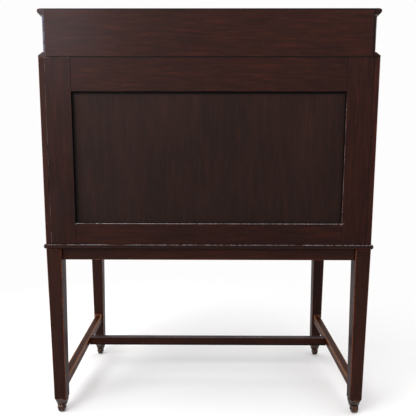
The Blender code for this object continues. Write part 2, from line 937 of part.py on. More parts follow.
def make_small_drawer(name, x_span, z_span, y_span, front_thickness, wall, knob_size, spacing):
    # A drawer whose box is glued into its front: one piece
    face_y, end_y = y_span
    widths = (x_span[0] + drawer_play, x_span[1] - drawer_play)
    heights = (z_span[0] + fit_gap, z_span[1] - drawer_play)
    front = round_edges(link_part(block(
        name,
        (widths[0], face_y, heights[0]),
        (widths[1], face_y + front_thickness, heights[1]),
    )), fine_arris)
    box_start = face_y + front_thickness - drawer_joint_overlap
    box = block(
        name + "_box",
        (widths[0] + small_box_inset, box_start, heights[0] + small_box_inset),
        (widths[1] - small_box_inset, end_y, heights[1] - drawer_box_drop),
    )
    join(front, box)
    inside = block(
        name + "_inside",
        (widths[0] + small_box_inset + wall, face_y + front_thickness, heights[0] + small_box_inset + wall),
        (widths[1] - small_box_inset - wall, end_y - wall, heights[1] + overrun),
    )
    cut(front, inside)
    for index, place in enumerate(knob_places(widths, heights, face_y, spacing)):
        add_knob(front, "%s_knob_%d" % (name, index), place, *knob_size)
    return finish(front, mahogany)


def make_lopers():
    for side, sign in sides:
        inner = loper_slot_half + loper_play
        widths = sorted((sign * inner, sign * (inner + loper_width)))
        loper = round_edges(link_part(block(
            "loper_" + side,
            (widths[0], front_y, dust_top + fit_gap),
            (widths[1], loper_end_y, bed_bottom - seat),
        )), fine_arris)
        place = Vector((sum(widths) / 2, front_y, (dust_top + bed_bottom) / 2))
        add_knob(loper, "loper_knob_" + side, place, loper_knob_radius, loper_knob_length)
        finish(loper, mahogany)


# The drawer box on top

def make_top_box():
    front_face = box_front_y
    heights = (case_top_top, box_top)
    for side, sign in sides:
        outer = box_half - seat
        lip = box_half - box_back_lip
        inner = box_inner_half + seat
        outline = [
            (sign * outer, front_face + seat),
            (sign * outer, back_y - seat),
            (sign * (lip + seat), back_y - seat),
            (sign * (lip + seat), back_y - box_back_thickness - seat),
            (sign * inner, back_y - box_back_thickness - seat),
            (sign * inner, front_face + seat),
        ]
        panel = prism("box_side_" + side, outline, "XY", (heights[0] + seat, heights[1] - seat))
        finish(round_edges(link_part(panel), fine_arris), mahogany)
    back = board(
        "box_back",
        (-box_half + box_back_lip, box_half - box_back_lip),
        (back_y - box_back_thickness, back_y),
        (case_top_bottom, top_height),
        fine_arris,
    )
    finish(back, mahogany)
    half = box_partition_thickness / 2
    partition = board(
        "box_partition", (-half, half), (front_face, back_y - box_back_thickness), heights, fine_arris
    )
    finish(partition, mahogany)


def make_top_board():
    low = box_top + seat
    rise = top_board_thickness - 2 * seat
    edge = [(top_board_overhang * out, low + rise * up) for out, up in top_board_edge_shares]
    ends = [(box_half + out, z) for out, z in edge]
    width_outline = ends + [(-x, z) for x, z in reversed(ends)]
    depth_outline = [(box_front_y - out, z) for out, z in edge]
    depth_outline += [(back_y - seat, low + rise), (back_y - seat, low)]
    board_front = box_front_y - top_board_overhang - overrun
    top = prism("top_board", width_outline, "XZ", (board_front, back_y + overrun))
    depth_shape = prism("top_board_depth", depth_outline, "YZ", (-case_width, case_width))
    keep_common(link_part(top), depth_shape)
    notch_half = box_half - box_back_lip
    notch = block(
        "top_board_notch",
        (-notch_half, back_y - box_back_thickness, box_top - overrun),
        (notch_half, back_y + overrun, top_height + overrun),
    )
    cut(top, notch)
    finish(top, mahogany)


def make_top_drawers():
    half = box_partition_thickness / 2
    for side, sign in sides:
        widths = sorted((sign * half, sign * box_inner_half))
        make_small_drawer(
            "top_drawer_" + side,
            widths,
            (case_top_top, box_top),
            (box_front_y, top_drawer_end_y),
            top_drawer_front_thickness,
            drawer_bottom,
            (top_knob_radius, top_knob_length),
            top_knob_spacing,
        )


# The pigeonholes

def comb_outline(teeth, tooth_low, board_low, board_high):
    # Section of a board with upright partitions hanging from it, as one closed outline
    outline = [(teeth[0][0], board_high), (teeth[0][0], tooth_low)]
    for index, (left, right) in enumerate(teeth):
        if index:
            outline.append((left, board_low))
            outline.append((left, tooth_low))
        outline.append((right, tooth_low))
        if index < len(teeth) - 1:
            outline.append((right, board_low))
    outline.append((teeth[-1][1], board_high))
    return outline


def make_nest():
    half = inner_half - nest_play
    depths = (nest_front_y, back_frame_y - seat)
    shelf_low = bed_top + nest_drawer_height
    shelf_high = shelf_low + nest_board
    well = nest_well_width / 2
    lower_teeth = [
        (-half, -half + nest_board),
        (-well - nest_board, -well),
        (well, well + nest_board),
        (half - nest_board, half),
    ]
    shelf = prism(
        "nest_shelf",
        comb_outline(lower_teeth, bed_top + seat, shelf_low, shelf_high - seat),
        "XZ",
        depths,
    )
    finish(link_part(shelf), mahogany_edge)
    pitch = (2 * half - nest_board) / pigeonhole_count
    starts = [-half + pitch * index for index in range(pigeonhole_count + 1)]
    upper_teeth = [(start, start + nest_board) for start in starts]
    holes = prism(
        "nest_pigeonholes",
        comb_outline(upper_teeth, shelf_high + seat, nest_top - nest_board, nest_top),
        "XZ",
        depths,
    )
    finish(link_part(holes), mahogany_edge)
    for side, sign in sides:
        widths = sorted((sign * (well + nest_board), sign * (half - nest_board)))
        make_small_drawer(
            "nest_drawer_" + side,
            widths,
            (bed_top, shelf_low),
            (nest_front_y, nest_drawer_end_y),
            nest_drawer_front_thickness,
            nest_drawer_wall,
            (nest_knob_radius, nest_knob_length),
            0,
        )


def main():
    clear_scene()
    new_collection("writing_bureau")
    new_collection("cutters")
    make_legs()
    make_aprons()
    make_stretchers()
    for corner, x, y in corners:
        make_castor_plate(corner, x, y)
        make_castor_fork(corner, x, y)
        make_castor_wheel(corner, x, y)
    make_case_sides()
    make_base_board()
    make_inner_boards()
    make_case_top()
    make_back_frame()
    make_fall_leaf()
    for side, sign in sides:
        make_hinge(side, sign * hinge_x)
    make_lock()
    make_long_drawer("lower", inner_half, (base_top, dust_bottom))
    make_long_drawer("upper", partition_half, (dust_top, bed_bottom))
    make_lopers()
    make_top_box()
    make_top_board()
    make_top_drawers()
    make_nest()


main()
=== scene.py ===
# Writing bureau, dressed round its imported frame. Metres, +Z up: the framed back faces +Y, the sitter sits at -Y.
import math

import bmesh
import bpy
from mathutils import Euler, Matrix, Vector


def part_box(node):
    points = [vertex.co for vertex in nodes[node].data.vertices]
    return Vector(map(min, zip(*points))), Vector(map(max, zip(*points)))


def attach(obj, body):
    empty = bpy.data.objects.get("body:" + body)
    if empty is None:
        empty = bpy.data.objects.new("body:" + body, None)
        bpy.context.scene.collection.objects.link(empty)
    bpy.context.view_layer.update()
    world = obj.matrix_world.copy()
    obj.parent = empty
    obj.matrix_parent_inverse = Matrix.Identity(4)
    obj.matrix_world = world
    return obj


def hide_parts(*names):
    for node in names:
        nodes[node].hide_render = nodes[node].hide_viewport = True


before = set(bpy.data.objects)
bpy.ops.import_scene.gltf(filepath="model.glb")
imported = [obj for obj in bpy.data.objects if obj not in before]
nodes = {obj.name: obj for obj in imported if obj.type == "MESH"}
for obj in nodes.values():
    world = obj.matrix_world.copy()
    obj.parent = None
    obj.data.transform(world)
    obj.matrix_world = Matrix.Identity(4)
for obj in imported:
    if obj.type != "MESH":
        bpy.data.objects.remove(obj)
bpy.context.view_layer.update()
sides = {"left": -1, "right": 1}
corners = ["rear_left", "rear_right", "front_left", "front_right"]
print("frame loaded:", len(nodes), "nodes")


def linear(hexColour):  # an sRGB hex colour as the linear colour that shaders take
    values = [int(hexColour[place:place + 2], 16) / 255 for place in (1, 3, 5)]
    return (*[v / 12.92 if v <= 0.04045 else ((v + 0.055) / 1.055) ** 2.4 for v in values], 1)


def addNode(tree, kind, links=(), operation=None, **settings):
    # A node with its settings. Its sockets, by name or in their order, each take a value, an output, or a node for
    # its first output. A kind is written without Blender's prefix.
    prefixes = ("ShaderNode", "GeometryNode", "FunctionNode", "Node")
    node = tree.nodes.new(next(prefix + kind for prefix in prefixes if hasattr(bpy.types, prefix + kind)))
    if operation:
        node.operation = operation
    for name, value in settings.items():
        setattr(node, name, value)
    for socket, value in (links.items() if isinstance(links, dict) else enumerate(links)):
        if isinstance(value, bpy.types.Node):
            value = next(output for output in value.outputs if output.enabled)
        if isinstance(value, bpy.types.NodeSocket):
            tree.links.new(value, node.inputs[socket])
        else:
            node.inputs[socket].default_value = value
    return node


def fromTo(value, span, target):  # the sockets of a Map Range node that takes the span to the target
    return {"Value": value, "From Min": span[0], "From Max": span[1], "To Min": target[0], "To Max": target[1]}


def addObject(name, data):
    made = bpy.data.objects.new(name, data)
    bpy.context.scene.collection.objects.link(made)
    return made


def setRamp(node, stops):
    ramp = node.color_ramp
    while len(ramp.elements) < len(stops):
        ramp.elements.new(0.5)
    for element, (position, colour) in zip(ramp.elements, stops):
        element.position = position
        element.color = colour if isinstance(colour, tuple) else linear(colour)
    return node


def newGroup(name, kind, inputs, outputs):
    group = bpy.data.node_groups.new(name, kind)
    for label, socket, *value in inputs:
        made = group.interface.new_socket(label, in_out="INPUT", socket_type="NodeSocket" + socket)
        if value:
            made.default_value = value[0]
    for label, socket in outputs:
        group.interface.new_socket(label, in_out="OUTPUT", socket_type="NodeSocket" + socket)
    return group, addNode(group, "GroupInput").outputs


def polished(tree, colour, roughness, relief, strength, depth=0.0002, specular=0.5, metallic=0.0, invert=False):
    # A surface, with its relief as a bump of this strength and depth
    bump = addNode(tree, "Bump", {"Height": relief, "Strength": strength, "Distance": depth}, invert=invert)
    return addNode(tree, "BsdfPrincipled", {
        "Base Color": colour, "Roughness": roughness, "Normal": bump, "Specular IOR Level": specular,
        "Metallic": metallic})


def newMaterial(name, shader):  # shader(tree) returns the node whose first output is the surface
    material = bpy.data.materials.new(name)
    material.use_nodes = True
    material.node_tree.nodes.clear()
    surface = shader(material.node_tree)
    addNode(material.node_tree, "OutputMaterial", (surface,))
    return material


# Wood

noiseSpan = (0.3, 0.7)  # where most of a noise's values lie


def offPlane(tree, vector, axis, at=0.0):  # how far each point is from the plane that crosses this axis there
    away = addNode(tree, "SeparateXYZ", (vector,)).outputs["XYZ".index(axis)]
    if at:
        away = addNode(tree, "Math", (away, at), "SUBTRACT")
    return addNode(tree, "Math", (away,), "ABSOLUTE")


def cover(tree, below, hexColour, value, span, shares, curve="LINEAR"):
    # Lays a colour over what is below: its share runs through shares while the value runs through span
    share = addNode(tree, "MapRange", fromTo(value, span, shares), interpolation_type=curve)
    return share, addNode(tree, "Mix", {"Factor": share, "A": below, "B": linear(hexColour)}, data_type="RGBA")


def jointAndShadeLine(tree, below, hexColour, away, at, width):  # a thin dark line along a plane: old wax and dust where two boards meet, and painted shade over any face that lies in the plane
    line = addNode(tree, "Math", (away, at, width), "COMPARE")
    return addNode(tree, "Mix", {"Factor": line, "A": below, "B": linear(hexColour)}, data_type="RGBA")


def woodGroup(name, look):
    # Grain runs along the group's Z. Sizes are in millimetres, across and along the grain; pores of mahogany are
    # about 0.2 mm wide and 4 mm long, too fine to show from here, so they are drawn wider and longer.
    group, given = newGroup(name, "ShaderNodeTree", [("Vector", "Vector")], [
        ("Color", "Color"), ("Roughness", "Float"), ("Height", "Float")])

    def stretched(size, detail, roughness=0.5, distortion=0.0):
        squash = (1, 1, size[0] / size[1])
        vector = addNode(group, "VectorMath", (given["Vector"], squash), "MULTIPLY")
        return addNode(group, "TexNoise", {
            "Vector": vector, "Scale": 1000 / size[0], "Detail": detail, "Roughness": roughness,
            "Distortion": distortion})

    figure = stretched(look["figure"], 5, 0.62, look["figureWave"])
    tone = stretched(look["tone"], 3)
    streaks = stretched(look["streaks"], 3, 0.6)
    pores = stretched(look["pores"], 2, 0.6)
    cloud = stretched(look["cloud"], 4, 0.6)
    colour = setRamp(addNode(group, "ValToRGB", {"Fac": figure}), look["stops"])
    shade = addNode(group, "MapRange", fromTo(tone, noiseSpan, look["toneShade"]))
    toned = addNode(group, "VectorMath", {0: colour, "Scale": shade}, "SCALE")
    streaked = cover(group, toned, look["streak"], streaks, look["streakSpan"], (0.0, look["streakDepth"]))[1]
    filled, pored = cover(group, streaked, look["pore"], pores, look["poreSpan"], (0.0, look["poreDepth"]))
    rough = addNode(group, "MapRange", fromTo(cloud, noiseSpan, look["rough"]))
    film = addNode(group, "TexNoise", {"Vector": given["Vector"], "Scale": look["peelScale"], "Detail": 2.0})
    uneven = addNode(group, "Math", (film, look["peelDepth"], cloud), "MULTIPLY_ADD")
    height = addNode(group, "Math", (filled, -look["poreSunk"], uneven), "MULTIPLY_ADD")
    addNode(group, "GroupOutput", {"Color": pored, "Roughness": rough, "Height": height})
    return group


# French-polished mahogany: dark red-brown, long soft streaks, pores filled nearly black, a satin shellac film
mahoganyLook = {
    "figure": (7, 95), "figureWave": 0.4, "tone": (90, 230), "toneShade": (0.78, 1.24),
    "streaks": (1.9, 55), "streakSpan": (0.52, 0.72), "streakDepth": 0.36,
    "pores": (1.4, 14), "poreSpan": (0.54, 0.68), "poreDepth": 0.42, "poreSunk": 0.6,
    "cloud": (60, 84), "rough": (0.38, 0.50), "peelScale": 300.0, "peelDepth": 0.5,  # orange peel in the film
    "stops": [(0.30, "#1d0905"), (0.45, "#240c07"), (0.56, "#2a0f09"), (0.72, "#39150b")],
    "streak": "#47200f", "pore": "#130604"}
variants = {
    "mahoganyFrame": {},
    "mahoganyPanel": {  # flatter and browner, its film gone dull
        "stops": [(0.26, "#1a0c09"), (0.45, "#1f0f0b"), (0.60, "#23110c"), (0.78, "#2c150e")],
        "streak": "#30180f", "streakDepth": 0.35, "figure": (9, 95), "rough": (0.44, 0.56)},
    "mahoganyStand": {  # darker than the frame
        "stops": [(0.26, "#1b0804"), (0.45, "#210b05"), (0.60, "#280e07"), (0.78, "#351509")],
        "streak": "#3f1c0c", "rough": (0.36, 0.48)},
    "mahoganyInside": {  # waxed, never polished, so lighter and matt
        "stops": [(0.26, "#4a2415"), (0.45, "#5d2f1c"), (0.60, "#6b3822"), (0.78, "#7d4529")],
        "streak": "#83492c", "pore": "#341609", "rough": (0.5, 0.64)},
    "oakLining": {  # quarter-sawn oak, waxed: pale, straight, with open pores
        "stops": [(0.26, "#8a6238"), (0.45, "#9f7545"), (0.60, "#ac8250"), (0.78, "#bd9460")],
        "streak": "#c09a68", "pore": "#664423", "figureWave": 0.15, "poreDepth": 0.6, "rough": (0.52, 0.66)}}
woods = {name: woodGroup(name, {**mahoganyLook, **changes}) for name, changes in variants.items()}


arris = {"outside": 0.006, "raggedness": 2.4, "raggedScale": 300.0, "patchScale": 14.0, "patchEdge": 0.06}


def arrisGroup():
    # How near a point is to the arris of a straight board, or of the opening in a frame: the middle one of its
    # three distances to the faces, broken up by noise: polish rubbed through in patches, and painted highlights
    group, given = newGroup("arrisWearAndHighlight", "ShaderNodeTree", [
        ("Vector", "Vector"), ("Centre", "Vector"), ("Half", "Vector"), ("Width", "Float"), ("Patch", "Float")], [
        ("Mask", "Float")])
    apart = addNode(group, "VectorMath", (given["Vector"], given["Centre"]), "SUBTRACT")
    across = addNode(group, "VectorMath", (apart,), "ABSOLUTE")
    inside = addNode(group, "VectorMath", (given["Half"], across), "SUBTRACT")
    x, y, z = addNode(group, "SeparateXYZ", (inside,)).outputs
    flattest = addNode(group, "Math", (x, y), "MINIMUM")
    least = addNode(group, "Math", (flattest, z), "MINIMUM")
    beside = addNode(group, "Math", (least, -arris["outside"]), "GREATER_THAN")
    off = addNode(group, "VectorMath", (inside,), "ABSOLUTE")
    x, y, z = addNode(group, "SeparateXYZ", (off,)).outputs
    low = addNode(group, "Math", (x, y), "MINIMUM")
    high = addNode(group, "Math", (x, y), "MAXIMUM")
    inner = addNode(group, "Math", (high, z), "MINIMUM")
    middle = addNode(group, "Math", (low, inner), "MAXIMUM")
    fine = addNode(group, "TexNoise", {"Vector": given["Vector"], "Scale": arris["raggedScale"], "Detail": 4.0})
    broad = addNode(group, "TexNoise", {
        "Vector": given["Vector"], "Scale": arris["patchScale"], "Detail": 4.0, "Roughness": 0.65})
    ragged = addNode(group, "Math", (fine, 0.5), "SUBTRACT")
    spread = addNode(group, "Math", (given["Width"], arris["raggedness"]), "MULTIPLY")
    wander = addNode(group, "Math", (ragged, spread, middle), "MULTIPLY_ADD")
    near = addNode(group, "MapRange", fromTo(wander, (given["Width"], 0.0), (0.0, 1.0)),
                   interpolation_type="SMOOTHSTEP")
    patch = addNode(group, "Math", (broad, given["Patch"]), "SUBTRACT")
    gate = addNode(group, "MapRange", fromTo(patch, (-arris["patchEdge"], arris["patchEdge"]), (0.0, 1.0)))
    worn = addNode(group, "Math", (near, gate), "MULTIPLY")
    addNode(group, "GroupOutput", {"Mask": addNode(group, "Math", (worn, beside), "MULTIPLY")})
    return group


wearAndHighlightMask = arrisGroup()
grainTurns = {  # turns the board's grain onto the pattern's Z
    "X": (0, math.radians(-90), 0), "Y": (math.radians(90), 0, 0), "Z": (0, 0, 0)}
wearAndPaintedLight = {  # shade is (low, high) up the span, painted light and shade; painted shade near a plane is (axis, place, reach, depth); seams, which also shade faces that lie in their planes, are (axis, place)
    "orange": "#7a3a1c", "orangeWidth": 0.0020, "orangeDepth": 0.50, "orangePatch": 0.50,
    "scuff": "#8f8681", "scuffWidth": 0.0008, "scuffDepth": 0.55, "scuffPatch": 0.54,
    "bumpStrength": 0.25, "specular": 0.085, "cleat": None, "cleatJoint": 0.0004, "cleatColour": "#120806",
    "seamsAndShadedFaces": (), "seamAndShadeWidth": 0.0009, "seamAndShadeColour": "#0c0403",
    "bloom": 0.0, "bloomColour": "#66595c", "bloomCentre": (0.45, 0.278, 1.12), "bloomReach": 0.30,
    "shade": None, "shadeSpan": (0.52, 1.00), "grime": (), "grimeColour": "#080403"}


def woodMaterial(name, wood, grain, seed, box=None, tilt=0.0, taper=None, **changes):
    # A polished board. box is its (low, high) corners, for the rubbed arrises and the painted highlights on them; tilt
    # turns it about X
    look = {**wearAndPaintedLight, **changes}
    shift = (seed * 0.37, seed * 0.71, seed * 1.13)  # so that no two boards show the same stretch of figure

    def shader(tree):
        place = addNode(tree, "TexCoord").outputs["Object"]
        flat = addNode(tree, "Mapping", {"Vector": place, "Rotation": (-tilt, 0, 0)})

        def cut(direction):
            turned = addNode(tree, "Mapping", {"Vector": flat, "Rotation": grainTurns[direction], "Location": shift})
            return addNode(tree, "Group", {"Vector": turned}, node_tree=woods[wood])

        made = cut(grain)
        colour = made.outputs["Color"]
        if look["cleat"]:  # the ends of the board are clamped: their grain runs across, behind a fine dark joint
            away = offPlane(tree, flat, "X")
            past = addNode(tree, "Math", (away, look["cleat"]), "GREATER_THAN")
            colour = addNode(tree, "Mix", {"Factor": past, "A": colour, "B": cut("Y")}, data_type="RGBA")
            colour = jointAndShadeLine(tree, colour, look["cleatColour"], away, look["cleat"], look["cleatJoint"])
        if look["shade"]:  # painted light and shade: the colour is scaled from the low to the high value up the span, lighter where the lamps fall from above; an even pair lightens or darkens the whole board as it is lit or shaded
            up = addNode(tree, "SeparateXYZ", (place,)).outputs["Z"]
            falloff = addNode(tree, "MapRange", fromTo(up, look["shadeSpan"], look["shade"]))
            colour = addNode(tree, "VectorMath", {0: colour, "Scale": falloff}, "SCALE")
        for axis, at, reach, depth in look["grime"]:  # painted shade: darkens towards the plane, in recesses, corners and under ledges where shade falls
            away = offPlane(tree, place, axis, at)
            colour = cover(tree, colour, look["grimeColour"], away, (reach * 0.5, reach), (depth, 0.0),
                           "SMOOTHSTEP")[1]
        if look["bloom"]:  # painted sheen: a grey haze laid on near this point, standing for a lamp's reflection in the polish
            apart = addNode(tree, "VectorMath", (place, look["bloomCentre"]), "DISTANCE")
            colour = cover(tree, colour, look["bloomColour"], apart, (look["bloomReach"], 0.0), (0.0, look["bloom"]),
                           "SMOOTHERSTEP")[1]
        # dark joint lines; where a face lies in the plane, as the inner faces round the opening do, the whole face is
        # darkened: painted shade
        for axis, at in look["seamsAndShadedFaces"]:
            away = offPlane(tree, flat, axis)
            colour = jointAndShadeLine(tree, colour, look["seamAndShadeColour"], away, at, look["seamAndShadeWidth"])
        if box:
            middle = Euler((-tilt, 0, 0)).to_matrix() @ ((box[0] + box[1]) / 2)
            half, where = (box[1] - box[0]) / 2, flat
            if taper:  # the leg's section grows from foot to top, so its distances are taken on a straightened leg
                low, high, foot, top = taper
                up = addNode(tree, "SeparateXYZ", (where,)).outputs["Z"]
                width = addNode(tree, "MapRange", fromTo(up, (low, high), (foot / top, 1.0)))
                moved = addNode(tree, "VectorMath", (where, tuple(middle)), "SUBTRACT")
                thin = addNode(tree, "CombineXYZ", (width, width, 1.0))
                where = addNode(tree, "VectorMath", (moved, thin), "DIVIDE")
                middle, half = Vector((0, 0, 0)), Vector((top / 2, top / 2, half.z))
            # orange is polish worn through on the arrises; the pale scuff colour is partly real scuffing, partly
            # painted highlight where edges catch the light
            for kind in ("orange", "scuff"):
                mask = addNode(tree, "Group", {
                    "Vector": where, "Centre": middle, "Half": half, "Width": look[kind + "Width"],
                    "Patch": look[kind + "Patch"]}, node_tree=wearAndHighlightMask)
                share = addNode(tree, "Math", (mask, look[kind + "Depth"]), "MULTIPLY")
                colour = addNode(tree, "Mix", {"Factor": share, "A": colour, "B": linear(look[kind])}, data_type="RGBA")
        return polished(tree, colour, made.outputs["Roughness"], made.outputs["Height"], look["bumpStrength"], 0.0003,
                        specular=look["specular"])

    return newMaterial(name, shader)


def dress(node, *materials):
    mesh = nodes[node].data
    mesh.materials.clear()
    for material in materials:
        mesh.materials.append(material)


# Metal, china and leather

def mottled(tree, width, detail=4.0, roughness=0.6):  # noise of that many millimetres on object coordinates
    place = addNode(tree, "TexCoord").outputs["Object"]
    return addNode(tree, "TexNoise", {
        "Vector": place, "Scale": 1000 / width, "Detail": detail, "Roughness": roughness})


def metalMaterial(name, stops, rough, width=9, bumpStrength=0.15):
    # Cast or rolled brass: bright in patches, browned by tarnish elsewhere, fine scratches in the gloss
    def shader(tree):
        tarnish, scratches = mottled(tree, width), mottled(tree, 0.8, 2.0)
        colour = setRamp(addNode(tree, "ValToRGB", {"Fac": tarnish}), stops)
        gloss = addNode(tree, "MapRange", fromTo(tarnish, noiseSpan, (rough[1], rough[0])))
        return polished(tree, colour, gloss, scratches, bumpStrength, metallic=1.0)

    return newMaterial(name, shader)


lacquer = {
    "stops": [(0.42, "#180b07"), (0.54, "#2c160f"), (0.64, "#523124"), (0.76, "#825a47")], "roughness": 0.13,
    # the groove colour and gloss here are painted shade in the gap between cup and horn
    "specular": 0.36, "bumpStrength": 0.05, "grooveShade": "#030202", "grooveShadeGloss": 0.04,
    "grooveHeight": 0.0262, "grooveHalf": 0.0012, "grooveFade": 1.6}
glaze = {
    "stops": [(0.34, "#180b06"), (0.48, "#2c170e"), (0.58, "#43281b"), (0.70, "#765440")], "roughness": 0.34,
    "specular": 0.2, "bumpStrength": 0.2}
leather = {
    "stops": [(0.30, "#4a2019"), (0.52, "#5c2b21"), (0.72, "#70392c")], "roughness": 0.5, "specular": 0.35,
    "bumpStrength": 0.35, "pebbleScale": 620.0,  # a pebble is about 1.6 mm wide
    "pebbleSpan": (0.0, 0.6), "pebbleShade": (1.12, 0.78)}


def bronzedShader(tree):  # cast brass under dark brown lacquer: nearly black, with small sharp lights and worn spots
    colour = setRamp(addNode(tree, "ValToRGB", {"Fac": mottled(tree, 8, 5.0, 0.65)}), lacquer["stops"])
    away = offPlane(tree, addNode(tree, "TexCoord").outputs["Object"], "Z", lacquer["grooveHeight"])
    edge = (lacquer["grooveHalf"], lacquer["grooveHalf"] * lacquer["grooveFade"])
    unshaded = addNode(tree, "MapRange", fromTo(away, edge, (lacquer["grooveShadeGloss"], 1.0)))  # painted shade: the groove under the cup is darkened nearly to black and loses its gloss
    gloss = addNode(tree, "Math", (unshaded, lacquer["specular"]), "MULTIPLY")
    colour = addNode(tree, "Mix", {"Factor": unshaded, "A": linear(lacquer["grooveShade"]), "B": colour}, data_type="RGBA")
    bumps = mottled(tree, 1.5, 2.0)
    return polished(tree, colour, lacquer["roughness"], bumps, lacquer["bumpStrength"], specular=gloss)


def chinaShader(tree):  # brown-glazed earthenware: a hard glossy glaze over a mottled body
    mottle = mottled(tree, 5)
    colour = setRamp(addNode(tree, "ValToRGB", {"Fac": mottle}), glaze["stops"])
    return polished(tree, colour, glaze["roughness"], mottle, glaze["bumpStrength"], 0.0003, glaze["specular"])


def leatherShader(tree):  # thin sheepskin skiver, pasted down and waxed: pebbled grain, paler and darker in broad patches
    place = addNode(tree, "TexCoord").outputs["Object"]
    pebbles = addNode(tree, "TexVoronoi", {"Vector": place, "Scale": leather["pebbleScale"]}, feature="SMOOTH_F1")
    colour = setRamp(addNode(tree, "ValToRGB", {"Fac": mottled(tree, 110)}), leather["stops"])
    shade = addNode(tree, "MapRange", fromTo(pebbles, leather["pebbleSpan"], leather["pebbleShade"]))
    grained = addNode(tree, "VectorMath", {0: colour, "Scale": shade}, "SCALE")
    return polished(tree, grained, leather["roughness"], pebbles, leather["bumpStrength"], 0.0003, leather["specular"],
                    invert=True)


finishes = {
    "polishedBrass": metalMaterial(
        "polishedBrass", [(0.30, "#7d5a2c"), (0.50, "#b08a45"), (0.70, "#c9a45c")], (0.22, 0.36)),
    "bronzedBrass": newMaterial("bronzedBrass", bronzedShader),
    "ironKeyholeShade": metalMaterial("ironKeyholeShade", [(0.3, "#15110f"), (0.7, "#2a2320")], (0.4, 0.55), 4),
    "goldLeaf": metalMaterial("goldLeaf", [(0.30, "#6b4a1c"), (0.50, "#b58a3c"), (0.72, "#d3ab58")], (0.30, 0.45), 3),
    "glazedChina": newMaterial("glazedChina", chinaShader),
    "skiverLeather": newMaterial("skiverLeather", leatherShader),
    "turnedMahogany": woodMaterial("turnedMahogany", "mahoganyFrame", "Y", 90, specular=0.3)}


# Shapes

unturned = Matrix.Identity(4)
turns = {"X": Matrix.Rotation(math.radians(90), 4, "Y"), "-Y": Matrix.Rotation(math.radians(90), 4, "X")}


def smoothed(points, steps):  # a soft curve through the points of a turner's profile
    ends = [points[0], *points, points[-1]]
    path = [tuple(points[0])]
    for before, start, end, after in zip(ends, ends[1:], ends[2:], ends[3:]):
        for step in range(1, steps + 1):
            t = step / steps
            path.append(tuple(
                0.5 * (2 * b + (c - a) * t + (2 * a - 5 * b + 4 * c - d) * t * t + (3 * b - a - 3 * c + d) * t ** 3)
                for a, b, c, d in zip(before, start, end, after)))
    return [(max(radius, 0.0), along) for radius, along in path]


def addTurned(bm, profile, place, turn=unturned, segments=40, finish=0, ring=False):
    # A lathe-turned shape from (radius, along) points, closed on the axis or, as a ring, on itself
    loops = []
    for radius, along in profile:
        count = 1 if radius < 1e-6 else segments
        angles = [2 * math.pi * index / count for index in range(count)]
        loops.append([bm.verts.new(turn @ Vector((radius * math.cos(a), radius * math.sin(a), along)) + Vector(place))
                      for a in angles])
    for one, two in zip(loops, loops[1:] + (loops[:1] if ring else [])):
        for index in range(segments):
            after = (index + 1) % segments
            ring1 = [one[0]] if len(one) == 1 else [one[index], one[after]]
            ring2 = [two[0]] if len(two) == 1 else [two[after], two[index]]
            if len(ring1) + len(ring2) > 2:
                bm.faces.new(ring1 + ring2).material_index = finish


def bridge(bm, one, two):  # a strip of faces between two closed rows of points
    for index in range(len(one)):
        after = (index + 1) % len(one)
        bm.faces.new((one[index], one[after], two[after], two[index]))


def settle(bm, old, finish, place):  # gives the faces that came after the old ones their finish and their place
    new = [face for face in bm.faces if face not in old]
    for face in new:
        face.material_index = finish
    for vert in {vert for face in new for vert in face.verts}:
        vert.co = place @ vert.co


def addBoard(bm, low, high, arris, finish=0, place=unturned):
    old = set(bm.faces)
    made = bmesh.ops.create_cube(bm, size=1)["verts"]
    low, high = Vector(low), Vector(high)
    for vert in made:
        vert.co = Vector([l + (h - l) * (c + 0.5) for l, h, c in zip(low, high, vert.co)])
    if arris:
        edges = [edge for edge in bm.edges if edge.verts[0] in made]
        bmesh.ops.bevel(bm, geom=edges, offset=arris, segments=2, profile=0.5, affect="EDGES")
    settle(bm, old, finish, place)


def addSlab(bm, outline, span, arris=0.0, finish=0, place=unturned, hole=None):
    # A flat shape given in X and Z, as thick as span along Y. A hole has as many points as the outline.
    old = set(bm.faces)
    front, back = [[bm.verts.new((x, y, z)) for x, z in outline] for y in span]
    bridge(bm, front, back)
    if hole:
        frontHole, backHole = [[bm.verts.new((x, y, z)) for x, z in hole] for y in span]
        for one, two in ((backHole, frontHole), (frontHole, front), (back, backHole)):
            bridge(bm, one, two)
    else:
        ends = [bm.faces.new(front[::-1]), bm.faces.new(back)]
        if arris:
            rims = [edge for face in ends for edge in face.edges]
            bmesh.ops.bevel(bm, geom=rims, offset=arris, segments=2, profile=0.5, affect="EDGES")
    settle(bm, old, finish, place)


def addPiece(name, made, materials, body, replaced=(), sharp=32):
    # Turns a bmesh, or a mesh from Geometry Nodes, into a piece that rides on its body
    if isinstance(made, bmesh.types.BMesh):
        bmesh.ops.recalc_face_normals(made, faces=made.faces)
        mesh = bpy.data.meshes.new(name)
        made.to_mesh(mesh)
        made.free()
        for material in materials:
            mesh.materials.append(material)
    else:
        mesh = made
        mesh.name = name
    mesh.polygons.foreach_set("use_smooth", [True] * len(mesh.polygons))
    mesh.set_sharp_from_angle(angle=math.radians(sharp))
    piece = addObject(name, mesh)
    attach(piece, body)
    if replaced:
        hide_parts(*replaced)


def bake(tree, points, values, edges=()):
    # Runs a Geometry Nodes tree on bare points or on a path, and returns the finished mesh
    mesh = bpy.data.meshes.new(tree.name)
    mesh.from_pydata([tuple(point) for point in points], list(edges), [])
    host = addObject(tree.name, mesh)
    modifier = host.modifiers.new(tree.name, "NODES")
    modifier.node_group = tree
    for item in tree.interface.items_tree:
        if item.in_out == "INPUT" and item.name in values:
            modifier[item.identifier] = values[item.name]
    depsgraph = bpy.context.evaluated_depsgraph_get()
    result = bpy.data.meshes.new_from_object(host.evaluated_get(depsgraph))
    host.modifiers.remove(modifier)
    bpy.data.objects.remove(host)
    return result


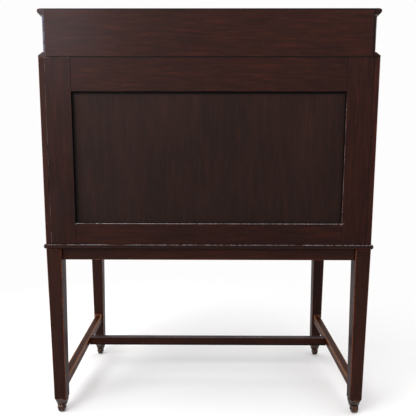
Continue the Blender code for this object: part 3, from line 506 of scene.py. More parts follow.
def endTree(tree, given, geometry):
    real = addNode(tree, "RealizeInstances", (geometry,))
    painted = addNode(tree, "SetMaterial", {"Geometry": real, "Material": given["Material"]})
    addNode(tree, "GroupOutput", {"Geometry": painted})
    return tree


def endRows(tree, given, shape, step):  # a row of the shape from each point on, Count of them, a step apart
    row = addNode(tree, "MeshLine", {"Count": given["Count"], "Offset": step})
    shapes = addNode(tree, "InstanceOnPoints", {"Points": row, "Instance": shape})
    rows = addNode(tree, "InstanceOnPoints", {"Points": given["Geometry"], "Instance": shapes})
    return endTree(tree, given, rows)


def placesTree(name, inputs):
    shape = ("Geometry", "Geometry")
    return newGroup(name, "GeometryNodeTree", [shape, *inputs, ("Material", "Material")], [shape])


def screwTree():
    # A slotted screw head sunk at each point, facing Direction, each slot left at its own angle
    tree, given = placesTree("screwHeads", [
        ("Radius", "Float", 0.0024), ("Dome", "Float", 0.0005), ("Slot", "Float", 0.0006),
        ("Direction", "Vector", (0, 0, 1)), ("Seed", "Int", 1)])
    head = addNode(tree, "MeshUVSphere", {"Segments": 24, "Rings": 12, "Radius": 1.0})
    size = addNode(tree, "CombineXYZ", (given["Radius"], given["Radius"], given["Dome"]))
    dome = addNode(tree, "Transform", {"Geometry": head, "Scale": size})
    length = addNode(tree, "Math", (given["Radius"], 3.0), "MULTIPLY")
    deep = addNode(tree, "Math", (given["Dome"], 1.4), "MULTIPLY")
    cutSize = addNode(tree, "CombineXYZ", (length, given["Slot"], deep))
    cutter = addNode(tree, "MeshCube", {"Size": cutSize})
    lift = addNode(tree, "CombineXYZ", {2: given["Dome"]})
    lifted = addNode(tree, "Transform", {"Geometry": cutter, "Translation": lift})
    slotted = addNode(tree, "MeshBoolean", (dome, lifted), "DIFFERENCE")
    spin = addNode(tree, "RandomValue", {"Max": (0, 0, math.pi), "Seed": given["Seed"]}, data_type="FLOAT_VECTOR")
    facing = addNode(tree, "AlignRotationToVector", {"Vector": given["Direction"]}, axis="Z")
    own = addNode(tree, "EulerToRotation", (spin,))
    both = addNode(tree, "RotateRotation", (facing, own), rotation_space="LOCAL")
    return endTree(tree, given, addNode(tree, "InstanceOnPoints", {
        "Points": given["Geometry"], "Instance": slotted, "Rotation": both}))


def beadTree():
    # A round bead, half sunk, or a fine line, that follows the path
    tree, given = placesTree("followedBead", [("Radius", "Float", 0.0012)])
    path = addNode(tree, "MeshToCurve", (given["Geometry"],))
    section = addNode(tree, "CurvePrimitiveCircle", {"Resolution": 14, "Radius": given["Radius"]})
    return endTree(tree, given, addNode(tree, "CurveToMesh", (path, section)))


def dovetailTree():
    # A row of wedge-shaped pins up each corner of a drawer, a hair proud of its side
    tree, given = placesTree("dovetailPins", [
        ("Count", "Int", 5), ("Spacing", "Float", 0.02), ("Length", "Float", 0.012), ("Height", "Float", 0.007),
        ("Splay", "Float", 0.5), ("Proud", "Float", 0.0003)])
    size = addNode(tree, "CombineXYZ", (given["Proud"], given["Length"], given["Height"]))
    block = addNode(tree, "MeshCube", {"Size": size})
    x, y, z = addNode(tree, "SeparateXYZ", (addNode(tree, "InputPosition"),)).outputs
    along = addNode(tree, "Math", (y, given["Length"]), "DIVIDE")
    growth = addNode(tree, "Math", (along, given["Splay"], 1.0), "MULTIPLY_ADD")
    height = addNode(tree, "Math", (z, growth), "MULTIPLY")
    moved = addNode(tree, "CombineXYZ", (x, y, height))
    wedge = addNode(tree, "SetPosition", {"Geometry": block, "Position": moved})
    return endRows(tree, given, wedge, addNode(tree, "CombineXYZ", {2: given["Spacing"]}))


def valanceTree():
    # A row of arched valances: each is a thin strip whose lower edge rises in a curve to the middle of its hole
    tree, given = placesTree("archedValances", [
        ("Count", "Int", 8), ("Spacing", "Float", 0.1), ("Width", "Float", 0.1), ("Height", "Float", 0.016),
        ("Rise", "Float", 0.011), ("Thickness", "Float", 0.003)])
    grid = addNode(tree, "MeshGrid", {
        "Size X": given["Width"], "Size Y": given["Height"], "Vertices X": 33, "Vertices Y": 2})
    x, y, z = addNode(tree, "SeparateXYZ", (addNode(tree, "InputPosition"),)).outputs
    share = addNode(tree, "Math", (x, given["Width"]), "DIVIDE")
    angle = addNode(tree, "Math", (share, math.pi), "MULTIPLY")
    wave = addNode(tree, "Math", (angle,), "COSINE")
    arch = addNode(tree, "Math", (wave, 0.6), "POWER")
    rise = addNode(tree, "Math", (arch, given["Rise"]), "MULTIPLY")
    lift = addNode(tree, "CombineXYZ", {1: rise})
    lower = addNode(tree, "Math", (y, 0.0), "LESS_THAN")
    arched = addNode(tree, "SetPosition", {"Geometry": grid, "Selection": lower, "Offset": lift})
    back = addNode(tree, "FlipFaces", (arched,))
    away = addNode(tree, "CombineXYZ", {2: given["Thickness"]})
    front = addNode(tree, "ExtrudeMesh", {"Mesh": arched, "Offset": away, "Individual": False})
    joined = addNode(tree, "JoinGeometry", (front,))
    tree.links.new(back.outputs[0], joined.inputs[0])
    closed = addNode(tree, "MergeByDistance", {"Geometry": joined, "Distance": 0.00001})
    upright = addNode(tree, "Transform", {"Geometry": closed, "Rotation": (math.radians(90), 0, 0)})
    return endRows(tree, given, upright, addNode(tree, "CombineXYZ", (given["Spacing"],)))


def toolingTree():
    # Small lozenges stamped at even steps along a path
    tree, given = placesTree("tooledStamps", [
        ("Step", "Float", 0.005), ("Size", "Float", 0.0011), ("Proud", "Float", 0.0002), ("Tilt", "Float", 0.0)])
    path = addNode(tree, "MeshToCurve", (given["Geometry"],))
    even = addNode(tree, "ResampleCurve", {"Curve": path, "Length": given["Step"]}, mode="LENGTH")
    stamp = addNode(tree, "MeshCylinder", {"Vertices": 4, "Radius": given["Size"], "Depth": given["Proud"]})
    turn = addNode(tree, "CombineXYZ", (given["Tilt"],))
    return endTree(tree, given, addNode(tree, "InstanceOnPoints", {
        "Points": even, "Instance": stamp, "Rotation": turn}))


trees = {"screws": screwTree(), "bead": beadTree(), "dovetails": dovetailTree(), "valances": valanceTree(),
         "tooling": toolingTree()}
print("Geometry Nodes trees built:", len(trees))


# Boards of the carcase and the stand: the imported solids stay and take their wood

far = 0.05  # pushes a face of the box for worn and highlighted arrises off the board, where another board covers that arris
openingHalf = 0.370  # half the width of the opening in the framed back
opening = (Vector((-openingHalf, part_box("back_panel")[0].y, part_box("back_rail_bottom")[1].z)),
           Vector((openingHalf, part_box("back_rail_top")[1].y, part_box("back_rail_top")[0].z)))
# painted light and shade: darker low down, lighter higher up
paintedLightGradient = {"shade": (0.66, 0.80)}
# Painted light in these changes: the colour scale up a board lightens or darkens it as it is lit or shaded; darkening
# near a plane is painted shade in recesses and under ledges; the grey haze is a painted sheen; pale and bluish arris
# colours are painted highlights, partly real scuffs; the dark planes at 0.3701 and 0.9147 paint the opening's inner
# faces in shade
boards = [  # wood, {node: (grain, faces of its box for worn and highlighted arrises pushed off, changes)}
    ("mahoganyFrame", {
        "box_back": ("X", "-x+z-z", {
            "scuff": "#6f7482", "scuffWidth": 0.0022, "scuffPatch": 0.50, "scuffDepth": 0.55, "orangeDepth": 0.12,
            "seamsAndShadedFaces": [("Z", 1.0027)], "seamAndShadeWidth": 0.0022, "bloom": 0.12, "shade": (0.87, 0.87),
            "grime": [("Z", 1.1247, 0.0046, 0.9), ("X", -0.4358, 0.0045, 0.8)]}),
        "case_top": ("X", "-z", {"scuffDepth": 0.4, "bloom": 0.34, "shade": (0.6, 0.6)}),
        "box_side_left": ("Y", "+x", {
            "scuffWidth": 0.003, "scuffPatch": 0.48, "scuffDepth": 0.3, "shade": (0.6, 0.6)}),
        "box_side_right": ("Y", "-x", {
            "scuff": "#6d7282", "scuffWidth": 0.0085, "scuffPatch": 0.45, "scuffDepth": 0.75, "bloom": 0.25,
            "shade": (0.7, 0.7)}),
        "box_partition": ("Y", "", {}),
        "side_left": ("Z", "+x+z-z", {"orangeWidth": 0.0026, "orangePatch": 0.44, "seamsAndShadedFaces": [("X", 0.4401)]}),
        "side_right": ("Z", "-x-z", {"orangeWidth": 0.0026, "orangePatch": 0.42, "seamsAndShadedFaces": [("X", 0.4401)]}),
        "back_stile_left": ("Z", "opening", {
            "scuffPatch": 0.46, "scuffWidth": 0.0009, "orangeDepth": 0.35, "seamsAndShadedFaces": [("X", 0.3701)],
            "shade": (0.69, 0.92)}),
        "back_stile_right": ("Z", "-x-z", {
            "scuffWidth": 0.0012, "scuffPatch": 0.48, "scuffDepth": 0.5, "orangeDepth": 0.2, "seamsAndShadedFaces": [("X", 0.3701)],
            "bloom": 0.06, "shade": (0.57, 0.72)}),
        "back_rail_top": ("X", "opening", {
            "scuffDepth": 0.0, "orangeDepth": 0.1, "bloom": 0.05, "seamsAndShadedFaces": [("Z", 0.9147), ("Z", 1.0023)], **paintedLightGradient}),
        "back_rail_bottom": ("X", "opening", {
            "scuff": "#a9a5a9", "scuffWidth": 0.0012, "scuffPatch": 0.38, "scuffDepth": 0.85, **paintedLightGradient})}),
    ("mahoganyPanel", {
        "back_panel": ("Z", "-x+x-z+z", {
            "bloom": 0.06, "shade": (0.66, 1.0), "shadeSpan": (0.56, 0.90), "grime": [
                ("X", 0.3701, 0.0115, 0.95), ("X", -0.3701, 0.0035, 0.7), ("Z", 0.9147, 0.0075, 0.92),
                ("Z", 0.5604, 0.0030, 0.5)]})}),
    ("mahoganyStand", {
        "base_board": ("X", "-z", {
            "scuff": "#a09da4", "scuffWidth": 0.0034, "scuffPatch": 0.42, "scuffDepth": 0.66, "orangeDepth": 0.25,
            "grime": [("Z", 0.4970, 0.0026, 0.75), ("Z", 0.4891, 0.0030, 0.8)]}),
        "apron_rear": ("X", "-x+x+z", {"orangePatch": 0.42, "seamsAndShadedFaces": [("X", 0.4128)]}),
        "apron_front": ("X", "-x+x+z", {}),
        "apron_left": ("Y", "-y+y+z", {}), "apron_right": ("Y", "-y+y+z", {}),
        "stretcher_cross": ("X", "-x+x-z", {
            "orangePatch": 0.42, "scuff": "#6f6a70", "scuffWidth": 0.0030, "scuffPatch": 0.40, "scuffDepth": 0.6,
            "grime": [("Z", 0.1064, 0.0060, 0.8)]})}),
    ("mahoganyFrame", {
        "dust_board": ("X", "-x+x", {}),
        "loper_partition_left": ("Y", "", {}), "loper_partition_right": ("Y", "", {}),
        "writing_bed": ("X", "-x+x", {})}),
    ("oakLining", {
        "upper_drawer_box": ("Y", "", {"orangeDepth": 0.15}),
        "lower_drawer_box": ("Y", "", {"orangeDepth": 0.15})}),
    ("mahoganyInside", {
        "nest_shelf": ("X", "", {"orangeDepth": 0.15, "scuffDepth": 0.0}),
        "nest_pigeonholes": ("X", "", {"orangeDepth": 0.15, "scuffDepth": 0.0})})]


def wearAndHighlightBox(node, covered):
    if covered == "opening":
        return opening
    low, high = [Vector(corner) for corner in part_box(node)]
    for way, axis in zip(covered[::2], covered[1::2]):
        corner, step = (low, -far) if way == "-" else (high, far)
        corner["xyz".index(axis)] += step
    return low, high


seed = 0
for wood, dressed in boards:
    for node, (grain, covered, changes) in dressed.items():
        seed += 1
        dress(node, woodMaterial(wood + "_" + node, wood, grain, seed, wearAndHighlightBox(node, covered), **changes))

legs = {"footWidth": 0.034, "topWidth": 0.042, "seed": 61}
for seed, corner in enumerate(corners):
    low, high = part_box("leg_" + corner)
    # the legs' even 0.93 colour scale is painted shade
    dress("leg_" + corner, woodMaterial(
        "mahoganyStand_leg_" + corner, "mahoganyStand", "Z", seed + legs["seed"], (low, high),
        taper=(low.z, high.z, legs["footWidth"], legs["topWidth"]), orangePatch=0.43, orangeDepth=0.7,
        orangeWidth=0.0024, shade=(0.93, 0.93)))
stretcher = {"width": 0.024, "height": 0.025, "rearTop": 0.092, "frontTop": 0.163}
for side in sides:  # the side stretchers climb towards the sitter, so their arrises are found on a tilted box
    low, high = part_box("stretcher_" + side)
    middleZ = (stretcher["rearTop"] + stretcher["frontTop"] - stretcher["height"]) / 2
    climb = math.atan2(stretcher["rearTop"] - stretcher["frontTop"], high.y - low.y)
    middle = Vector(((low.x + high.x) / 2, (low.y + high.y) / 2, middleZ))
    half = Vector((stretcher["width"] / 2, (high.y - low.y) / 2, stretcher["height"] * math.cos(climb) / 2))
    # the side stretchers are painted twice as light, with broad pale orange arrises: painted light where their tops
    # catch it, partly real wear
    dress("stretcher_" + side, woodMaterial(
        "mahoganyStand_stretcher_" + side, "mahoganyStand", "Y", 71 + sides[side], (middle - half, middle + half),
        climb, orangePatch=0.34, orangeWidth=0.0055, orangeDepth=0.75, orange="#99643f", shade=(2.0, 2.0)))
print("carcase and stand dressed")


# Castors: a cast cup under the leg's foot, a forked horn that swivels in it, a glazed china wheel

castor = {
    "wheelRadius": 0.01275, "wheelHalf": 0.0095, "trail": 0.004, "boreRadius": 0.0024,
    "cupLow": 0.0280, "cupHigh": 0.0418, "crownLow": 0.0262, "crownHigh": 0.0285, "crownRadius": 0.0133,
    "hornIn": 0.0100, "hornOut": 0.0118, "hornEnd": 0.0046,
    "shoulder": (0.0108, 0.0146, 0.0072, 0.0230, 0.0270),  # from, to, half length, low, high
    "axleRadius": 0.0020, "rivetRadius": 0.0031, "pinRadius": 0.003}


def addCup(bm, place, segments=56):  # square with round corners under the foot, round at its hollow lower rim
    low, high = castor["cupLow"], castor["cupHigh"]
    outer = smoothed([(0.0148, 1.0), (0.0168, 0.93), (0.0180, 0.78), (0.0182, 0.60), (0.0180, 0.42), (0.0174, 0.26),
                      (0.0165, 0.12), (0.0155, 0.0), (0.0149, -0.06)], 4)
    loops = []
    for radius, up in outer + [(0.0140, -0.06), (0.0138, 0.05), (0.0036, 0.05), (0.0036, 1.0)]:
        squareness = 2 + 4 * max(up - 0.5, 0) if radius > 0.004 else 2  # a superellipse's power: 2 is round
        loop = []
        for index in range(segments):
            angle = 2 * math.pi * (index + 0.5) / segments
            cosine, sine = math.cos(angle), math.sin(angle)
            reach = radius / (abs(cosine) ** squareness + abs(sine) ** squareness) ** (1 / squareness)
            loop.append(bm.verts.new(place + Vector((reach * cosine, reach * sine, low + (high - low) * min(up, 1)))))
        loops.append(loop)
    for one, two in zip(loops, loops[1:] + loops[:1]):
        bridge(bm, one, two)


def crownProfile():  # a flat round crown that turns inside the cup's rim, just clear of the wheel
    low, high, radius = castor["crownLow"], castor["crownHigh"], castor["crownRadius"]
    outer = [(0.86 * radius, high), (0.97 * radius, high - 0.0003), (radius, high - 0.0009), (radius, low + 0.0009),
             (0.97 * radius, low + 0.0003), (0.86 * radius, low)]
    return [(0, high)] + smoothed(outer, 4) + [(0, low)]


def hornOutline():
    # Side view of one horn in Y and Z: broad under the crown, drawn in, and round about the axle. Its left edge is
    # smoothed 0.1 m aside and brought back, because smoothed keeps to one side of zero.
    end, axle, back, top = castor["hornEnd"], castor["wheelRadius"], castor["trail"], castor["crownHigh"] - 0.0012
    aside = 0.1
    left = smoothed([(0.0055 + aside, top), (0.0052 + aside, 0.0225), (0.0030 + aside, 0.0180),
                     (aside + end - back - 0.0002, axle + 0.001)], 4)
    turned = [math.pi + math.pi * step / 12 for step in range(13)]
    right = smoothed([(back + end, axle + 0.001), (0.0078, 0.0180), (0.0060, 0.0230), (0.0055, top)], 4)
    return [(aside - y, z) for y, z in left] + [
        (back + end * math.cos(angle), axle + end * math.sin(angle)) for angle in turned] + right


def wheelProfile():
    half, radius, bore = castor["wheelHalf"], castor["wheelRadius"], castor["boreRadius"]
    side = smoothed([
        (0.0042, half - 0.0010), (0.0072, half - 0.0003), (0.0098, half - 0.0004), (0.0116, half - 0.0020),
        (0.01260, half - 0.0040), (radius - 0.00004, half - 0.0054), (0.01245, half - 0.0072), (0.0123, 0.0)], 4)
    return [(bore, half - 0.0010)] + side + [(r, -along) for r, along in side[-2::-1]] + [(bore, -half + 0.0010)]


def rod(radius, start, end):
    return [(0, start), (radius, start), (radius, end), (0, end)]


quarter = Matrix.Rotation(math.radians(90), 4, "Z")  # a slab's X and Z become Y and Z
for corner in corners:
    low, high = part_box("castor_plate_" + corner)
    under = Vector(((low.x + high.x) / 2, (low.y + high.y) / 2, 0))
    axle = under + Vector((0, castor["trail"], castor["wheelRadius"]))
    bm = bmesh.new()
    addCup(bm, under)
    addPiece("castorCup_" + corner, bm, [finishes["bronzedBrass"]], "case",
             ["castor_plate_" + corner])
    bm = bmesh.new()
    addTurned(bm, crownProfile(), under, segments=56)
    addTurned(bm, rod(castor["pinRadius"], castor["cupHigh"] - 0.002, castor["crownHigh"] - 0.001), under, segments=20)
    inner, outer, reach, foot, top = castor["shoulder"]  # each horn is thick where it leaves the crown
    shoulder = [(-reach, top), (-reach * 0.92, foot + 0.0016), (-reach * 0.6, foot), (reach * 0.6, foot),
                (reach * 0.92, foot + 0.0016), (reach, top)]
    rivet = castor["rivetRadius"]
    head = [(0, -0.0008), (rivet, -0.0008), (rivet, 0.0), (rivet * 0.92, 0.0005), (rivet * 0.6, 0.0010), (0, 0.0012)]
    for sign in sides.values():
        for outline, start, end, arris in ((hornOutline(), castor["hornIn"], castor["hornOut"], 0.0004),
                                           (shoulder, inner, outer, 0.0008)):
            addSlab(bm, outline, sorted((-sign * start, -sign * end)), arris, place=Matrix.Translation(under) @ quarter)
        addTurned(bm, head, axle + Vector((sign * castor["hornOut"], 0, 0)),
                  Matrix.Rotation(sign * math.radians(90), 4, "Y"), 24)
    addTurned(bm, rod(castor["axleRadius"], castor["hornOut"], -castor["hornOut"]), axle, turns["X"], 20)
    addPiece("castorHorn_" + corner, bm, [finishes["bronzedBrass"]], "castor_" + corner,
             ["castor_fork_" + corner])
    bm = bmesh.new()
    addTurned(bm, wheelProfile(), axle, turns["X"], 56, ring=True)
    addPiece("castorWheel_" + corner, bm, [finishes["glazedChina"]], "wheel_" + corner,
             ["castor_wheel_" + corner])
print("castors made")


# Top board: a thumb moulding along the front and both ends, square at the back

topBoard = {"overhang": 0.0127, "inner": (0.4405, 0.00586), "notch": (0.436, 0.2659), "profile": [
    (0, 0), (0.16, 0.02), (0.36, 0.10), (0.62, 0.22), (0.86, 0.38), (1, 0.58), (0.985, 0.74), (0.85, 0.88),
    (0.56, 0.97), (0.20, 1)]}


def makeTopBoard():
    low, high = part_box("top_board")
    (halfWidth, frontY), (notchHalf, notchY) = topBoard["inner"], topBoard["notch"]
    bm = bmesh.new()
    rings = []
    for out, up in smoothed(topBoard["profile"], 3):
        out, z = topBoard["overhang"] * min(out, 1), low.z + (high.z - low.z) * min(max(up, 0), 1)
        right = [(notchHalf, notchY), (notchHalf, high.y), (halfWidth + out, high.y), (halfWidth + out, frontY - out)]
        rings.append([bm.verts.new((x, y, z)) for x, y in right + [(-x, y) for x, y in right[::-1]]])
    for one, two in zip(rings, rings[1:]):
        bridge(bm, one, two)
    bm.faces.new(rings[0][::-1])
    bm.faces.new(rings[-1])
    # painted light on the top board: pale bluish arris highlights, a painted sheen towards the upper left, an even
    # darkening, and painted shade under its moulding
    wood = woodMaterial("mahoganyFrame_top_board", "mahoganyFrame", "X", 41, (low, high), orangeWidth=0.004,
                        orangeDepth=0.25, scuffWidth=0.0020, scuffPatch=0.50, scuff="#9a9ba4", specular=0.10, bloom=0.2,
                        shade=(0.66, 0.66), grime=[("Z", 1.1071, 0.0075, 0.7)])
    addPiece("topBoard", bm, [wood], "case", ["top_board"], 40)


makeTopBoard()
print("top board made")


# Knobs, screws, beads and keyhole plates

def knobProfile(radius, length):  # a turned mushroom on a waisted stem, with a small ring at its foot
    shares = [(0, 1), (0.34, 0.99), (0.66, 0.95), (0.92, 0.85), (1, 0.68), (0.88, 0.50), (0.56, 0.37), (0.42, 0.26),
              (0.41, 0.14), (0.52, 0.075), (0.60, 0.04), (0.58, 0.0)]
    return smoothed([(radius * across, length * along) for across, along in shares], 4) + [
        (radius * 0.58, -0.002), (0, -0.002)]


def addScrews(name, body, places, facing, seed, radius, slot):
    heads = bake(trees["screws"], places, {
        "Radius": radius, "Dome": 0.0004, "Slot": slot, "Direction": facing, "Seed": seed,
        "Material": finishes["polishedBrass"]})
    addPiece(name, heads, [], body)


def framed(low, high, inset):  # the corners of a rectangle, drawn in by inset
    (left, bottom), (right, top) = low, high
    left, bottom, right, top = left + inset, bottom + inset, right - inset, top - inset
    return [(left, bottom), (right, bottom), (right, top), (left, top)]


def addBead(name, around, radius, material, body):  # sharp bends would pinch it, so each side is its own strip
    points = [point for start, end in zip(around, around[1:] + around[:1]) for point in (start, end)]
    mesh = bake(trees["bead"], points, {"Radius": radius, "Material": material}, [(0, 1), (2, 3), (4, 5), (6, 7)])
    addPiece(name, mesh, [], body)


plate = {
    "proud": 0.0008, "sunk": 0.0006, "dark": (0.00015, 0.0004), "darkSpread": (1.25, 1.12), "eyeUp": 0.0006,
    "pinAt": 0.78, "pin": (0.0011, 0.0003)}  # the dark of the hole is a blackened leaf behind it, painted shade for the keyhole's depth; a pin is (radius, slot)


def keyhole(scale):  # a round eye with a slot that widens downwards, from the slot's left foot round the eye
    points = [(-1.1, -4.6), (-0.85, -1.2)]
    for step in range(17):
        angle = math.radians(-115 - 310 * step / 16)
        points.append((1.9 * math.cos(angle), 1.2 + 1.9 * math.sin(angle)))
    return [(x * scale / 1000, z * scale / 1000) for x, z in points + [(0.85, -1.2), (1.1, -4.6), (0.0, -4.9)]]


def addKeyholePlate(name, body, place, scale=1.0, halfSize=(0.0085, 0.0125)):
    # A thin oval plate; place puts its outer face at its own Y = 0, looking along -Y
    hole = keyhole(scale)
    angles = [math.atan2(z + plate["eyeUp"] * scale, x) for x, z in hole]
    outline = [(halfSize[0] * math.cos(angle), halfSize[1] * math.sin(angle)) for angle in angles]
    bm = bmesh.new()
    addSlab(bm, outline, (-plate["proud"], plate["sunk"]), place=place, hole=hole)
    # a black leaf just behind the hole: painted shade where the keyhole would be deep and unlit
    wide, tall = plate["darkSpread"]
    addSlab(bm, [(x * wide, z * tall) for x, z in hole], plate["dark"], finish=1, place=place)
    addPiece(name, bm, [finishes["polishedBrass"], finishes["ironKeyholeShade"]], body)
    pins = [place @ Vector((0, -plate["proud"], z * halfSize[1])) for z in (plate["pinAt"], -plate["pinAt"])]
    addScrews(name + "_pins", body, pins, place.to_3x3() @ Vector((0, -1, 0)), 5, *plate["pin"])


# Drawers and lopers: mahogany fronts edged with a cock bead, oak boxes lapped into them with dovetails

drawer = {
    "beadSunk": 0.0005, "pins": 4, "pinHeight": 0.006, "pinSplay": 0.55, "pinProud": 0.0004, "clearance": 0.0008,
    "lap": 0.0004, "drop": 0.010,  # a small drawer's back and bottom let into its sides, which end below its front
    "sunk": 0.001, "boardArris": 0.0006, "backArris": 0.0004, "backGap": 0.0001, "backDown": 0.002, "floorUp": 0.0012}
fronts = {
    "long": {"arris": 0.0008, "thickness": 0.018, "knob": (0.0145, 0.022), "segments": 40, "spacing": 0.520,
             "bead": 0.0013, "beadInset": 0.0022, "keyholeUp": 0.012, "plate": (1.0, (0.0085, 0.0125)),
             "frontPins": (0.0065, 0.013), "backPins": (0.0041, 0.0081)},  # middle's distance in, length
    "top": {"arris": 0.0006, "thickness": 0.014, "knob": (0.009, 0.015), "segments": 36, "spacing": 0.2105,
            "bead": 0.0010, "beadInset": 0.0018, "keyholeUp": 0.008, "plate": (0.8, (0.0065, 0.0098)), "wall": 0.006,
            "frontPins": (0.0062, 0.011), "backPins": (0.0031, 0.0061)},
    "nest": {"arris": 0.0006, "thickness": 0.009, "knob": (0.006, 0.011), "segments": 36, "spacing": 0, "bead": 0,
             "wall": 0.005},
    "loper": {"arris": 0.0008, "knob": (0.008, 0.013), "segments": 36, "spacing": 0, "bead": 0}}


def addFront(name, node, body, low, high, make, wood):
    # A board whose face is at low.y, with one knob or two, and perhaps a cock bead and a keyhole plate
    middleX, middleZ = (low.x + high.x) / 2, (low.z + high.z) / 2
    bm = bmesh.new()
    addBoard(bm, low, high, make["arris"])
    for across in ((-0.5, 0.5) if make["spacing"] else (0,)):
        addTurned(bm, knobProfile(*make["knob"]), (middleX + across * make["spacing"], low.y, middleZ), turns["-Y"],
                  make["segments"], 1)
    addPiece(name.format("Front"), bm, [wood, finishes["turnedMahogany"]], body, [node])
    if make["bead"]:
        around = [(x, low.y + drawer["beadSunk"], z) for x, z in framed(low.xz, high.xz, make["beadInset"])]
        addBead(name.format("Bead"), around, make["bead"], wood, body)
        place = Matrix.Translation((middleX, low.y, middleZ + make["keyholeUp"]))
        addKeyholePlate(name.format("Keyhole"), body, place, *make["plate"])


def addPins(name, body, low, high, make, front, back):  # dovetails up all four corners of a box
    spacing = (high.z - low.z) / drawer["pins"]
    (frontIn, frontLength), (backIn, backLength) = make["frontPins"], make["backPins"]
    for end, y, length, material in (("FrontPins", low.y + frontIn, frontLength, front),
                                     ("BackPins", high.y - backIn, backLength, back)):
        mesh = bake(trees["dovetails"], [(x, y, low.z + spacing / 2) for x in (low.x, high.x)], {
            "Count": drawer["pins"], "Spacing": spacing, "Length": length, "Height": drawer["pinHeight"],
            "Splay": drawer["pinSplay"], "Proud": drawer["pinProud"], "Material": material})
        addPiece(name.format(end), mesh, [], body)


for seed, level in enumerate(("upper", "lower")):
    name, node, body = level + "Drawer{}", level + "_drawer_front", level + "_drawer"
    low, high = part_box(node)
    low = Vector((low.x, high.y - fronts["long"]["thickness"], low.z))
    wood = woodMaterial("mahoganyFrame_" + body, "mahoganyFrame", "X", 44 + seed, (low, high), orangeDepth=0.3)
    addFront(name, node, body, low, high, fronts["long"], wood)
    endGrain = woodMaterial("oakLining_ends_" + level, "oakLining", "Y", 51 + seed, bumpStrength=0.4)
    addPins(name, body, *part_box(level + "_drawer_box"), fronts["long"], wood, endGrain)
print("long drawers made")

for kind in ("top", "nest"):
    for side, sign in sides.items():
        make, name, body = fronts[kind], kind + "Drawer{}_" + side, kind + "_drawer_" + side
        low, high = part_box(body)
        frontLow = Vector((low.x, low.y + make["knob"][1], low.z))
        frontHigh = Vector((high.x, frontLow.y + make["thickness"], high.z))
        wood = woodMaterial("mahoganyFrame_" + body, "mahoganyFrame", "X", 54 + sign, (frontLow, frontHigh),
                            orangeDepth=0.3)
        addFront(name, body, body, frontLow, frontHigh, make, wood)
        inset, wall, lap = drawer["clearance"], make["wall"], drawer["lap"]
        lowX, highX, lowZ, topZ = low.x + inset, high.x - inset, low.z + inset, high.z - drawer["drop"]
        startY, backY = frontHigh.y - drawer["sunk"], high.y
        left, right, behind = lowX + wall, highX - wall, backY - wall  # the faces inside the box
        oak = woodMaterial("oakLining_" + body, "oakLining", "Y", 57 + sign, bumpStrength=0.4)
        oakBack = woodMaterial("oakLining_back_" + body, "oakLining", "X", 59 + sign, bumpStrength=0.4)
        bm = bmesh.new()
        addBoard(bm, (lowX, startY, lowZ), (left, backY, topZ), drawer["boardArris"])
        addBoard(bm, (right, startY, lowZ), (highX, backY, topZ), drawer["boardArris"])
        addBoard(bm, (left - lap / 2, behind, lowZ),
                 (right + lap / 2, backY - drawer["backGap"], topZ - drawer["backDown"]), drawer["backArris"], 1)
        addBoard(bm, (left - lap, startY, lowZ + drawer["floorUp"]), (right + lap, behind + lap, lowZ + wall), 0, 1)
        addPiece(name.format("Box"), bm, [oak, oakBack], body)
        if make["bead"]:
            addPins(name, body, Vector((lowX, startY, lowZ)), Vector((highX, backY, topZ)), make, wood, oakBack)
print("small drawers made")

for side, sign in sides.items():  # the bars that carry the open fall
    node = "loper_" + side
    low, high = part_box(node)
    low.y += fronts["loper"]["knob"][1]
    wood = woodMaterial("mahoganyFrame_" + node, "mahoganyFrame", "Y", 65 + sign, (low, high), orangeDepth=0.4)
    addFront("loperBar_" + side, node, node, low, high, fronts["loper"], wood)
print("lopers made")


# Fall: clamped ends, a leather lining with a tooled border inside, brass fittings

fall = {
    "angle": math.radians(45), "length": 0.3476, "thickness": 0.018, "hinge": Vector((0, -0.2621, 0.757)),
    "clamp": 0.405, "leather": ((-0.390, 0.034), (0.390, 0.300)), "leatherThickness": 0.0005, "pasted": 0.0001,
    "border": 0.014, "stampSize": 0.0017, "stampStep": 0.0052, "stampProud": 0.0003, "lineApart": 0.0042,
    "lineRadius": 0.0004, "lineSunk": 0.0002,
    "hingeX": 0.300, "hingeScrews": (-0.020, 0, 0.020), "hingeScrewDown": 0.0135, "lockScrews": (-0.025, 0.025),
    "lockScrewsDown": (0.034, 0.007), "keyholeDown": 0.028,
    "screwSunk": 0.0001, "screw": (0.0025, 0.0007), "lockScrew": (0.0022, 0.0006)}  # a screw's radius and slot
fallPlace = Matrix.Translation(fall["hinge"]) @ Matrix.Rotation(fall["angle"], 4, "X")


